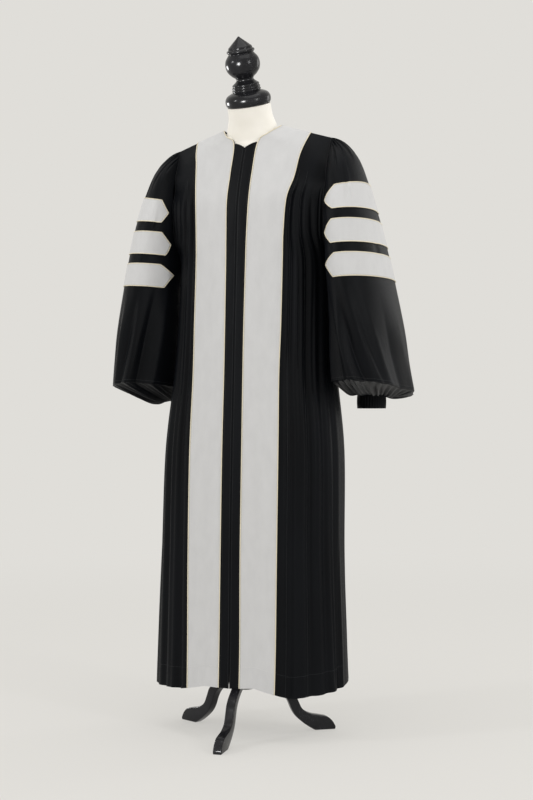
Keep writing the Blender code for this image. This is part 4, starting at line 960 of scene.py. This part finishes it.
def makeUnder(name, side, sleeve, sleeveNormals):
    # The gathered underside, from inside the rim in to the cuff, and the cuff itself
    count = sleeve.shape[1] - 1
    rim, above, over = sleeve[-1, :-1].copy(), sleeve[-2, :-1], sleeveNormals[-1, :-1]
    rim[0] = (sleeve[-1, 0] + sleeve[-1, -1]) / 2
    up = above - rim
    up /= np.linalg.norm(up, axis=1, keepdims=True)
    inside = rim - over * (gown["cloth"] + 0.0009)
    start = rim - over * (gown["cloth"] + 0.003) - (0, 0, 0.0015)
    around = np.arange(count) / count
    mirror = (side, 1, 1)
    cuff = oval(around, cuffSizes["halfWidth"], cuffSizes["halfDepth"], cuffSizes["centre"],
                cuffSizes["top"] + 0.0006) * mirror
    outward = cuff - cuff.mean(axis=0)
    outward /= np.linalg.norm(outward, axis=1, keepdims=True)
    loose = np.clip(np.sum((start - cuff) * outward, axis=1) / underSizes["span"], 0, 1) ** 2
    control = [start]
    for row in underRows:
        points = start + (cuff - start) * row.share
        points[:, 2] -= underSizes["sag"][name] * row.sag * loose
        control.append(points)
    places = np.linspace(0, len(underRows), underSizes["steps"])
    grid = alongRows(np.array(control), places)
    share = (places / len(underRows))[:, None]
    phase = around * underSizes["gathers"] + 0.12 * np.sin(around * 31)
    ripple = np.cos(2 * np.pi * phase) * np.sin(np.pi * share ** 0.8) * (0.75 + 0.25 * np.sin(around * 40))
    wide = 0.0025 * np.cos(2 * np.pi * (around * 9 + 0.3)) * np.sin(np.pi * share)
    grid[..., 2] += (underSizes["gatherDepth"] * ripple + wide) * np.clip(loose * 1.3, 0.12, 1)
    grid = np.concatenate([(inside + up * underSizes["tuck"])[None], inside[None], grid])
    normals = ringNormals(grid, (grid[0] - cuff.mean(axis=0)) * (1, 1, 0))
    normals[-1, :, 2] = np.minimum(normals[-1, :, 2], 0)
    normals /= np.linalg.norm(normals, axis=-1, keepdims=True)
    under = shell(f"sleeveUnderside_{name}", grid, normals, -gown["cloth"], 0, blackCloth,
                  "black_cloth", closed=True)
    sizes = cuffSizes
    around = np.arange(sizes["columns"]) / sizes["columns"]
    heights = np.linspace(sizes["top"], sizes["bottom"], 13)
    bulge = np.sin(np.pi * np.linspace(0, 1, 13))
    band = []
    for height, swell in zip(heights, bulge):
        phase = 2 * np.pi * sizes["gathers"] * around + 0.8 * np.sin(around * 19)
        wave = sizes["depth"] * swell * np.cos(phase)
        line = oval(around, sizes["halfWidth"], sizes["halfDepth"], sizes["centre"], height)
        away = line - (*sizes["centre"], height)
        away /= np.linalg.norm(away, axis=1, keepdims=True)
        band.append((line + away * wave[:, None]) * mirror)
    band = np.array(band)
    centre = np.array([sizes["centre"][0] * side, sizes["centre"][1], 0])
    normals = ringNormals(band, (band[0] - centre) * (1, 1, 0))
    wristband = shell(f"gatheredCuff_{name}", band, normals, -sizes["wall"], 0, blackCloth,
                      "black_cloth", closed=True)
    return {f"under_{name}": under, f"cuff_{name}": wristband}


def makeSleeve(name, side):
    grid, normals, rowPlaces = sleeveGrid(name, side)
    made = {f"sleeve_{name}": shell(f"bellSleeve_{name}", grid, normals, -gown["cloth"], 0, blackCloth,
                                    "black_cloth")}
    for number, bar in enumerate(bars[name], start=1):
        made.update(makeBar(f"{name}_{number}", grid, normals, rowPlaces, bar))
    made.update(makeUnder(name, side, grid, normals))
    return made, grid, normals, rowPlaces


# Sewing and zip teeth, set out by Geometry Nodes

def interfaceInputs(tree, wanted):
    tree.interface.new_socket("Geometry", in_out="INPUT", socket_type="NodeSocketGeometry")
    found = {}
    for label, kind in wanted:
        found[label] = tree.interface.new_socket(label, in_out="INPUT", socket_type=kind).identifier
    tree.interface.new_socket("Geometry", in_out="OUTPUT", socket_type="NodeSocketGeometry")
    return found


def alongCurveTree(name, wanted, makeInstance):
    # Points at a pitch along the object's edges, with an instance turned along the line
    tree = bpy.data.node_groups.new(name, "GeometryNodeTree")
    found = interfaceInputs(tree, wanted)
    source = tree.nodes.new("NodeGroupInput")
    curve = addNode(tree, "GeometryNodeMeshToCurve", {"Mesh": source.outputs["Geometry"]})
    spots = addNode(tree, "GeometryNodeCurveToPoints", {"Curve": curve.outputs["Curve"]}, mode="LENGTH")
    tree.links.new(source.outputs["Pitch"], spots.inputs["Length"])
    turn = addNode(tree, "FunctionNodeAlignRotationToVector", {"Vector": spots.outputs["Tangent"]}, axis="Z")
    instance = makeInstance(tree, source)
    placed = addNode(tree, "GeometryNodeInstanceOnPoints",
                     {"Points": spots.outputs["Points"], "Instance": instance,
                      "Rotation": turn.outputs["Rotation"]})
    real = addNode(tree, "GeometryNodeRealizeInstances", {"Geometry": placed.outputs["Instances"]})
    finish = addNode(tree, "GeometryNodeSetMaterial", {"Geometry": real.outputs["Geometry"],
                                                       "Material": source.outputs["Finish"]})
    sink = tree.nodes.new("NodeGroupOutput")
    tree.links.new(finish.outputs["Geometry"], sink.inputs["Geometry"])
    return tree, found


def threadInstance(tree, source):
    thread = addNode(tree, "GeometryNodeMeshCylinder", {"Radius": source.outputs["Thread Radius"],
                                                        "Depth": source.outputs["Stitch Length"]},
                     Vertices=6)
    return thread.outputs["Mesh"]


def toothInstance(tree, source):
    # One tooth of each side, half a pitch apart
    both = tree.nodes.new("GeometryNodeJoinGeometry")
    for sign in (-1, 1):
        size = addNode(tree, "ShaderNodeCombineXYZ", {"X": source.outputs["Tooth Width"],
                                                      "Y": source.outputs["Tooth Depth"],
                                                      "Z": source.outputs["Tooth Height"]})
        tooth = addNode(tree, "GeometryNodeMeshCube", {"Size": size.outputs["Vector"]})
        aside = addNode(tree, "ShaderNodeMath", {0: source.outputs["Tooth Width"]}, operation="MULTIPLY")
        aside.inputs[1].default_value = 0.35 * sign
        along = addNode(tree, "ShaderNodeMath", {0: source.outputs["Pitch"]}, operation="MULTIPLY")
        along.inputs[1].default_value = 0.25 * sign
        step = addNode(tree, "ShaderNodeCombineXYZ", {"X": aside.outputs["Value"],
                                                      "Z": along.outputs["Value"]})
        moved = addNode(tree, "GeometryNodeTransform", {"Geometry": tooth.outputs["Mesh"],
                                                        "Translation": step.outputs["Vector"]})
        tree.links.new(moved.outputs["Geometry"], both.inputs["Geometry"])
    return both.outputs["Geometry"]


stitchTree, stitchSockets = alongCurveTree(
    "runOfStitches",
    [("Pitch", "NodeSocketFloat"), ("Stitch Length", "NodeSocketFloat"),
     ("Thread Radius", "NodeSocketFloat"), ("Finish", "NodeSocketMaterial")], threadInstance)
zipTree, zipSockets = alongCurveTree(
    "rowOfZipTeeth",
    [("Pitch", "NodeSocketFloat"), ("Tooth Width", "NodeSocketFloat"), ("Tooth Depth", "NodeSocketFloat"),
     ("Tooth Height", "NodeSocketFloat"), ("Finish", "NodeSocketMaterial")], toothInstance)


def alongLines(name, lines, tree, sockets, values, finish, slotName):
    # A mesh of lines that the tree turns into stitches or teeth
    points, edges = [], []
    for line in lines:
        first = len(points)
        points += [tuple(point) for point in np.array(line) + (0, poleY, 0)]
        edges += [(k, k + 1) for k in range(first, len(points) - 1)]
    mesh = bpy.data.meshes.new(name)
    mesh.from_pydata(points, edges, [])
    thing = bpy.data.objects.new(name, mesh)
    bpy.context.scene.collection.objects.link(thing)
    modifier = thing.modifiers.new(name, "NODES")
    modifier.node_group = tree
    for label, value in values.items():
        modifier[sockets[label]] = value
    modifier[sockets["Finish"]] = finish
    ready = thing.evaluated_get(bpy.context.evaluated_depsgraph_get())
    made = bpy.data.meshes.new_from_object(ready)
    thing.modifiers.remove(modifier)
    thing.data = made
    made.materials.clear()
    made.materials.append(finish)
    made.shade_smooth()
    made.set_sharp_from_angle(angle=math.radians(50))
    made["slot"] = slotName
    return thing


stitchSizes = {"Pitch": 0.0034, "Stitch Length": 0.0024, "Thread Radius": 0.00032}


def liftedLine(grid, normals, column=None, row=None, lift=gown["threadLift"]):
    # A line of points on a grid, just above the cloth
    if column is not None:
        return grid[:, column] + normals[:, column] * lift
    return grid[row] + normals[row] * lift


def hemThread(grid, normals, columns, lift):
    # The hem's stitch line, a fixed height above the edge
    line = []
    for column in columns:
        height = grid[-1, column, 2] + gown["hemTurnUp"]
        place = np.interp(-height, -grid[:, column, 2], np.arange(len(grid)))
        line.append(onGrid(grid, place, column) + onGrid(normals, place, column) * lift)
    return np.array(line)


# The dress form

formSizes = {"side": 0.190, "columns": 40, "sideTurn": 80, "rows": 90}
FormRow = namedtuple("FormRow", "section insetFront insetBack")
formRows = [FormRow(0.5, 0.0027, 0.0060), FormRow(1, 0.0027, 0.0070), FormRow(1.5, 0.0032, 0.008),
            FormRow(2, 0.0040, 0.010), FormRow(2.5, 0.006, 0.013), FormRow(3, 0.010, 0.016),
            FormRow(4, 0.013, 0.020), FormRow(5, 0.015, 0.022)]
FormRing = namedtuple("FormRing", "height halfWidth frontY backY")
formRings = [FormRing(1.100, 0.160, -0.034, 0.146), FormRing(0.985, 0.138, -0.018, 0.128),
             FormRing(0.880, 0.160, -0.034, 0.144), FormRing(0.780, 0.172, -0.040, 0.150),
             FormRing(0.730, 0.164, -0.034, 0.144), FormRing(0.712, 0.140, -0.016, 0.124)]
NeckRing = namedtuple("NeckRing", "centreY height halfWidth halfDepth lean")
neckRings = [NeckRing(0.0195, 1.5235, 0.0535, 0.0500, 21), NeckRing(0.0290, 1.4970, 0.0560, 0.0460, 17),
             NeckRing(0.0370, 1.4750, 0.0635, 0.0430, 12), NeckRing(0.0410, 1.4550, 0.0680, 0.0400, 8),
             NeckRing(0.0450, 1.4200, 0.0700, 0.0350, 0), NeckRing(0.0500, 1.3800, 0.0700, 0.0350, 0)]


def rounded(profile, steps):
    # A smoother run of points through a short table
    control = np.array(profile, dtype=float)[:, None, :]
    return alongRows(control, np.linspace(0, len(profile) - 1, steps))[:, 0]


def closedRings(name, loops, finish, slotName, sharp):
    # A closed body through rings of points, with flat ends
    rows, columns = loops.shape[:2]
    faces = [(row * columns + column, row * columns + (column + 1) % columns,
              (row + 1) * columns + (column + 1) % columns, (row + 1) * columns + column)
             for row in range(rows - 1) for column in range(columns)]
    faces.append(tuple(range(columns)))
    faces.append(tuple((rows - 1) * columns + column for column in range(columns)))
    mesh = bpy.data.meshes.new(name)
    mesh.from_pydata((loops.reshape(-1, 3) + (0, poleY, 0)).tolist(), [], faces)
    shape = bmesh.new()
    shape.from_mesh(mesh)
    bmesh.ops.recalc_face_normals(shape, faces=shape.faces)
    shape.to_mesh(mesh)
    shape.free()
    mesh.shade_smooth()
    mesh.set_sharp_from_angle(angle=math.radians(sharp))
    return linkMesh(name, mesh, finish, slotName)


def formLoops():
    places = np.linspace(0, 1, formSizes["columns"])
    halves = []
    for back in (False, True):
        inset = np.array([row.insetBack if back else row.insetFront for row in formRows])
        control = np.array([sectionPoints(turnAt(section.edge, section, back) * places, section, back)
                            for section in sections])
        grid = alongRows(control, [row.section for row in formRows])
        normals = gridNormals(grid, fromAxis(grid))
        normals[:, 0, 0] = 0
        grid = grid - normals * inset[:, None, None]
        grid[..., 0] = np.clip(grid[..., 0], 0, formSizes["side"])
        halves.append(grid if not back else grid[:, ::-1])
    upper = np.concatenate(halves, axis=1)
    turns = np.radians(formSizes["sideTurn"]) * places
    lower = []
    for ring in formRings:
        middle, halfDepth = (ring.frontY + ring.backY) / 2, (ring.backY - ring.frontY) / 2
        x, y = ring.halfWidth * np.sin(turns), halfDepth * np.cos(turns)
        height = np.full(len(places), ring.height)
        lower.append(np.concatenate([np.stack([x, middle - y, height], axis=-1),
                                     np.stack([x, middle + y, height], axis=-1)[::-1]]))
    half = np.concatenate([upper, np.array(lower)])
    half = alongRows(half, np.linspace(0, len(half) - 1, formSizes["rows"]))
    return np.concatenate([half, half[:, -2:0:-1] * (-1, 1, 1)], axis=1)


def makeForm():
    torso = closedRings("dressForm", formLoops(), creamJersey, "cream_jersey", 50)
    ringsOfNeck = []
    for centreY, height, halfWidth, halfDepth, lean in rounded(neckRings, 26):
        angles = np.linspace(0, 2 * math.pi, 64, endpoint=False)
        back = halfDepth * np.sin(angles)
        tilt = math.radians(lean)
        ringsOfNeck.append(np.stack([halfWidth * np.cos(angles), centreY + back * math.cos(tilt),
                                     height + back * math.sin(tilt)], axis=-1))
    neck = closedRings("formNeck", np.array(ringsOfNeck), creamJersey, "cream_jersey", 50)
    union = torso.modifiers.new("neck", "BOOLEAN")
    union.operation = "UNION"
    union.solver = "EXACT"
    union.object = neck
    ready = torso.evaluated_get(bpy.context.evaluated_depsgraph_get())
    made = bpy.data.meshes.new_from_object(ready)
    torso.modifiers.remove(union)
    torso.data = made
    made["slot"] = "cream_jersey"
    bpy.data.objects.remove(neck, do_unlink=True)
    return torso


# The finial and the stand

Turned = namedtuple("Turned", "along radius")
finialSizes = {"lean": 21, "seat": (0.0, 0.0194, 1.5243), "columns": 72}
finialProfile = [
    Turned(0.0000, 0.0500), Turned(0.0040, 0.0545), Turned(0.0120, 0.0560), Turned(0.0200, 0.0545),
    Turned(0.0270, 0.0490), Turned(0.0315, 0.0400), Turned(0.0338, 0.0342), Turned(0.0360, 0.0350),
    Turned(0.0382, 0.0352), Turned(0.0400, 0.0334), Turned(0.0422, 0.0344), Turned(0.0446, 0.0342),
    Turned(0.0464, 0.0322), Turned(0.0486, 0.0330), Turned(0.0512, 0.0324), Turned(0.0536, 0.0292),
    Turned(0.0570, 0.0250), Turned(0.0610, 0.0215), Turned(0.0660, 0.0225), Turned(0.0730, 0.0310),
    Turned(0.0840, 0.0395), Turned(0.0980, 0.0425), Turned(0.1110, 0.0400), Turned(0.1210, 0.0330),
    Turned(0.1240, 0.0306), Turned(0.1262, 0.0322), Turned(0.1290, 0.0340), Turned(0.1322, 0.0334),
    Turned(0.1345, 0.0300), Turned(0.1370, 0.0292), Turned(0.1398, 0.0282), Turned(0.1430, 0.0245),
    Turned(0.1500, 0.0168), Turned(0.1590, 0.0065), Turned(0.1640, 0.0015)]
hubProfile = [Turned(0.108, 0.020), Turned(0.112, 0.026), Turned(0.120, 0.0270), Turned(0.172, 0.0270),
              Turned(0.180, 0.030), Turned(0.190, 0.030), Turned(0.200, 0.022), Turned(0.2047, 0.018)]
poleSizes = {"radius": 0.0125, "foot": 0.205, "top": 0.7117}
LegPoint = namedtuple("LegPoint", "reach height")
legTop = [LegPoint(0.0275, 0.168), LegPoint(0.045, 0.158), LegPoint(0.064, 0.140),
          LegPoint(0.082, 0.1205), LegPoint(0.104, 0.107), LegPoint(0.121, 0.093),
          LegPoint(0.130, 0.074), LegPoint(0.141, 0.053), LegPoint(0.161, 0.041),
          LegPoint(0.184, 0.036), LegPoint(0.204, 0.031), LegPoint(0.217, 0.020),
          LegPoint(0.225, 0.006), LegPoint(0.2235, 0.000)]
legBottom = [LegPoint(0.173, 0.000), LegPoint(0.159, 0.008), LegPoint(0.143, 0.019),
             LegPoint(0.126, 0.034), LegPoint(0.115, 0.050), LegPoint(0.105, 0.073),
             LegPoint(0.094, 0.089), LegPoint(0.075, 0.104), LegPoint(0.050, 0.116),
             LegPoint(0.0275, 0.122)]
legSizes = {"width": 0.021, "rounding": 0.0026, "steps": 48,
            "turns": {"leg_front": 9.4, "leg_left": 129.0, "leg_right": -111.0}}


def turnedLoops(profile, columns):
    angles = np.linspace(0, 2 * math.pi, columns, endpoint=False)
    return np.array([np.stack([radius * np.cos(angles), radius * np.sin(angles),
                               np.full(columns, along)], axis=-1) for along, radius in profile])


def makeFinial():
    profile = rounded(finialProfile, 140)
    profile[:, 1] = np.maximum(profile[:, 1], 0.0012)
    loops = turnedLoops(profile, finialSizes["columns"])
    lean = math.radians(finialSizes["lean"])
    turned = loops.copy()
    turned[..., 1] = loops[..., 1] * math.cos(lean) - loops[..., 2] * math.sin(lean)
    turned[..., 2] = loops[..., 1] * math.sin(lean) + loops[..., 2] * math.cos(lean)
    return closedRings("turnedFinial", turned + np.array(finialSizes["seat"]), turnedWood, "black_wood", 45)


def makeLeg(name, turn):
    # A curved leg: top and bottom lines paired, a flat bar across the leg's width with rounded edges,
    # thinning at the foot
    top, bottom = rounded(legTop[:-1], legSizes["steps"]), rounded(legBottom[::-1], legSizes["steps"])
    outline = np.concatenate([top, [legTop[-1]], bottom[::-1]])
    outline[:, 1] = np.maximum(outline[:, 1], 0.0)
    count = len(outline)
    half = legSizes["width"] / 2
    points = np.array([(x, -reach, height) for x in (-half, half) for reach, height in outline])
    faces = [(k, (k + 1) % count, count + (k + 1) % count, count + k) for k in range(count)]
    faces += [tuple(range(count)), tuple(range(2 * count - 1, count - 1, -1))]
    angle = math.radians(turn)
    spun = points.copy()
    spun[:, 0] = points[:, 0] * math.cos(angle) - points[:, 1] * math.sin(angle)
    spun[:, 1] = points[:, 0] * math.sin(angle) + points[:, 1] * math.cos(angle)
    mesh = bpy.data.meshes.new(name)
    mesh.from_pydata((spun + (0, poleY, 0)).tolist(), [], faces)
    shape = bmesh.new()
    shape.from_mesh(mesh)
    bmesh.ops.recalc_face_normals(shape, faces=shape.faces)
    rim = [edge for edge in shape.edges
           if any(len(face.verts) > 4 for face in edge.link_faces)]
    bmesh.ops.bevel(shape, geom=rim, offset=legSizes["rounding"], segments=5, profile=0.5,
                    affect="EDGES", clamp_overlap=True)
    bmesh.ops.triangulate(shape, faces=[face for face in shape.faces if len(face.verts) > 4])
    bmesh.ops.recalc_face_normals(shape, faces=shape.faces)
    shape.to_mesh(mesh)
    shape.free()
    mesh.shade_smooth()
    mesh.set_sharp_from_angle(angle=math.radians(50))
    return linkMesh(name, mesh, paintedMetal, "black_metal")


# Build everything

pieces = {}
noteStage("body")
placketLines, panelLines, velvetLines = [], [], []
for sideName, side in sides.items():
    made, blackSewing, velvetSewing = makeFront(sideName, side)
    pieces.update(made)
    panelLines += blackSewing
    velvetLines += velvetSewing
    flap, flapGrid, flapNormals = makePlacket(sideName, side)
    pieces[f"placket_{sideName}"] = flap
    for column in (1, -2):
        placketLines.append(liftedLine(flapGrid, flapNormals, column=column))
backMade, backCloth, backOver = makeBack()
pieces.update(backMade)
middle = backCloth.shape[1] // 2
for sign in (-1, 1):
    beside = middle + sign * (middle - 4)
    panelLines.append(liftedLine(backCloth, backOver, column=beside)[bodyRows < underarmRow])
    for flute in backFlutes[:3]:
        column = middle + sign * (round(flute.place * gown["backColumns"]) - 2)
        panelLines.append(liftedLine(backCloth, backOver, column=column)
                          [(bodyRows > flute.start) & (bodyRows < underarmRow)])
tape, zipLine = makeZipTape()
pieces["zip_tape"] = tape

noteStage("sleeves")
rimLines = []
for sideName, side in sides.items():
    made, sleeveCloth, sleeveOver, sleeveRows = makeSleeve(sideName, side)
    pieces.update(made)
    rimLines.append(liftedLine(sleeveCloth, sleeveOver, row=sleeveSizes["rimSewing"]))

noteStage("sewing")


def frontHemLine(side, creases):
    rows = bodyRows[bodyRows > gown["hemSewing"]]
    black = np.linspace(0.02, 0.98, 120)
    grid = frontGrid(side, np.array([0.5]), 0.0, black, rows, creases)[:, 1:]
    over = gridNormals(grid, fromAxis(grid))
    line = hemThread(grid, over, range(grid.shape[1]), gown["threadLift"])
    return line * (side, 1, 1)


hemLines = [frontHemLine(1, leftCreases), frontHemLine(-1, rightCreases),
            hemThread(backCloth, backOver, range(2, backCloth.shape[1] - 2), gown["threadLift"])]
loosePieces = [alongLines(name, lines, stitchTree, stitchSockets, stitchSizes, thread, slotName)
               for name, lines, thread, slotName in (
                   ("hemStitches", hemLines, blackThread, "black_cloth"),
                   ("placketStitches", placketLines, blackThread, "black_cloth"),
                   ("sleeveRimStitches", rimLines, blackThread, "black_cloth"),
                   ("panelStitches", panelLines, blackThread, "black_cloth"),
                   ("velvetStitches", velvetLines, greyThread, "grey_velvet"))]
toothSizes = {"Pitch": zipSizes["pitch"], "Tooth Width": zipSizes["toothWidth"],
              "Tooth Depth": zipSizes["toothDepth"], "Tooth Height": zipSizes["toothHeight"]}
loosePieces.append(alongLines("zipTeeth", [zipLine], zipTree, zipSockets, toothSizes,
                              zipTeethPlastic, "black_zip"))

noteStage("form and stand")
pieces["form_torso"] = makeForm()
pieces["finial"] = makeFinial()
pieces["hub"] = closedRings("standHub", turnedLoops(rounded(hubProfile, 36), 48), paintedMetal,
                            "black_metal", 45)
poleProfile = [Turned(poleSizes[end], poleSizes["radius"]) for end in ("foot", "top")]
poleLoops = turnedLoops(poleProfile, 32)
pieces["pole"] = closedRings("standPole", poleLoops, paintedMetal, "black_metal", 45)
for legName, legTurn in legSizes["turns"].items():
    pieces[legName] = makeLeg(legName.replace("leg_", "standLeg_"), legTurn)

noteStage("frame calls")
for nodeName, piece in pieces.items():
    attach(piece, "root")
    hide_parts(nodeName)
for piece in loosePieces:
    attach(piece, "root")

# The fields of a sheet's cut: width, length and flat area, in metres; no sheet's cut is worked out here
Cut = namedtuple("Cut", "width length area")


noteStage("floor, lights and camera")
studio = {
    "floorColour": (0.745, 0.735, 0.715), "worldColour": (0.745, 0.73, 0.695), "worldStrength": 1.0,
    "floorRadius": 40.0, "floorGlow": 0.62, "lens": 62.45, "sensor": 36.0,
    "camera": (1.4715, -3.021, 0.76), "aim": (-0.4242, 0.9056), "tilt": 0.75,
}
# Softboxes: where each stands, its size, its power and the height it looks at
Softbox = namedtuple("Softbox", "name x y z width height power aimZ")
softboxes = [Softbox("keyLight", -2.4, -2.6, 2.5, 0.45, 0.80, 30, 0.9),
             Softbox("fillLight", 3.4, -1.4, 1.9, 0.40, 1.20, 26, 0.9),
             Softbox("topLight", 0.4, -0.6, 3.6, 2.0, 2.0, 18, 1.0),
             Softbox("backLight", 1.8, 2.6, 2.2, 0.8, 1.6, 12, 1.0)]
# Two more that light only the glossy wood and metal
glossLights = [Softbox("glossFront", 0.0, -3.4, 1.10, 0.90, 0.90, 210, 1.55),
               Softbox("glossSide", -3.4, 0.6, 1.40, 0.70, 0.80, 60, 1.55)]


def makeFloor():
    shape = bmesh.new()
    bmesh.ops.create_circle(shape, cap_ends=True, segments=96, radius=studio["floorRadius"])
    mesh = bpy.data.meshes.new("floor")
    shape.to_mesh(mesh)
    shape.free()
    made, tree, shader = newMaterial("paleFloor", studio["floorColour"], 0.9)
    shader.inputs["Specular IOR Level"].default_value = 0.1
    length = addNode(tree, "ShaderNodeVectorMath", {0: mapped(tree, source="Object")}, operation="LENGTH")
    far = addNode(tree, "ShaderNodeMapRange", {"Value": length.outputs["Value"]},
                  interpolation_type="SMOOTHSTEP")
    far.inputs["From Min"].default_value = 0.6
    far.inputs["From Max"].default_value = 4.5
    far.inputs["To Min"].default_value = studio["floorGlow"]
    glow = addNode(tree, "ShaderNodeEmission", Color=(*studio["worldColour"], 1),
                   Strength=studio["worldStrength"])
    mix = addNode(tree, "ShaderNodeMixShader", {0: far.outputs["Result"], 1: shader.outputs["BSDF"],
                                               2: glow.outputs["Emission"]})
    tree.links.new(mix.outputs["Shader"], tree.nodes["Material Output"].inputs["Surface"])
    mesh.materials.append(made)
    floor = bpy.data.objects.new("floor", mesh)
    bpy.context.scene.collection.objects.link(floor)
    floor.location = (0, 0, -0.0005)


def makeLights():
    glossy = bpy.data.collections.new("glossyPieces")
    for nodeName in ("finial", "hub", "pole", "leg_front", "leg_left", "leg_right"):
        glossy.objects.link(pieces[nodeName])
    for box in softboxes + glossLights:
        light = bpy.data.lights.new(box.name, "AREA")
        light.shape = "RECTANGLE"
        light.size, light.size_y, light.energy = box.width, box.height, box.power
        lamp = bpy.data.objects.new(box.name, light)
        bpy.context.scene.collection.objects.link(lamp)
        lamp.location = (box.x, box.y, box.z)
        lamp.rotation_euler = (Vector((0, 0, box.aimZ)) - lamp.location).to_track_quat("-Z", "Y").to_euler()
        if box in glossLights:
            lamp.light_linking.receiver_collection = glossy
    world = bpy.data.worlds.new("paleStudio")
    bpy.context.scene.world = world
    world.use_nodes = True
    sky = world.node_tree.nodes["Background"]
    sky.inputs["Color"].default_value = (*studio["worldColour"], 1)
    sky.inputs["Strength"].default_value = studio["worldStrength"]


def makeCamera():
    lens = bpy.data.cameras.new("camera")
    lens.sensor_fit = "VERTICAL"
    lens.sensor_height = studio["sensor"]
    lens.lens = studio["lens"]
    camera = bpy.data.objects.new("camera", lens)
    bpy.context.scene.collection.objects.link(camera)
    x, y, z = studio["camera"]
    camera.location = (x, y + poleY, z)
    tilt = math.radians(studio["tilt"])
    aim = Vector((studio["aim"][0] * math.cos(tilt), studio["aim"][1] * math.cos(tilt), math.sin(tilt)))
    camera.rotation_euler = aim.to_track_quat("-Z", "Y").to_euler()
    bpy.context.scene.camera = camera


bpy.context.scene.view_settings.view_transform = "Standard"
makeFloor()
makeLights()
makeCamera()
bpy.context.view_layer.update()
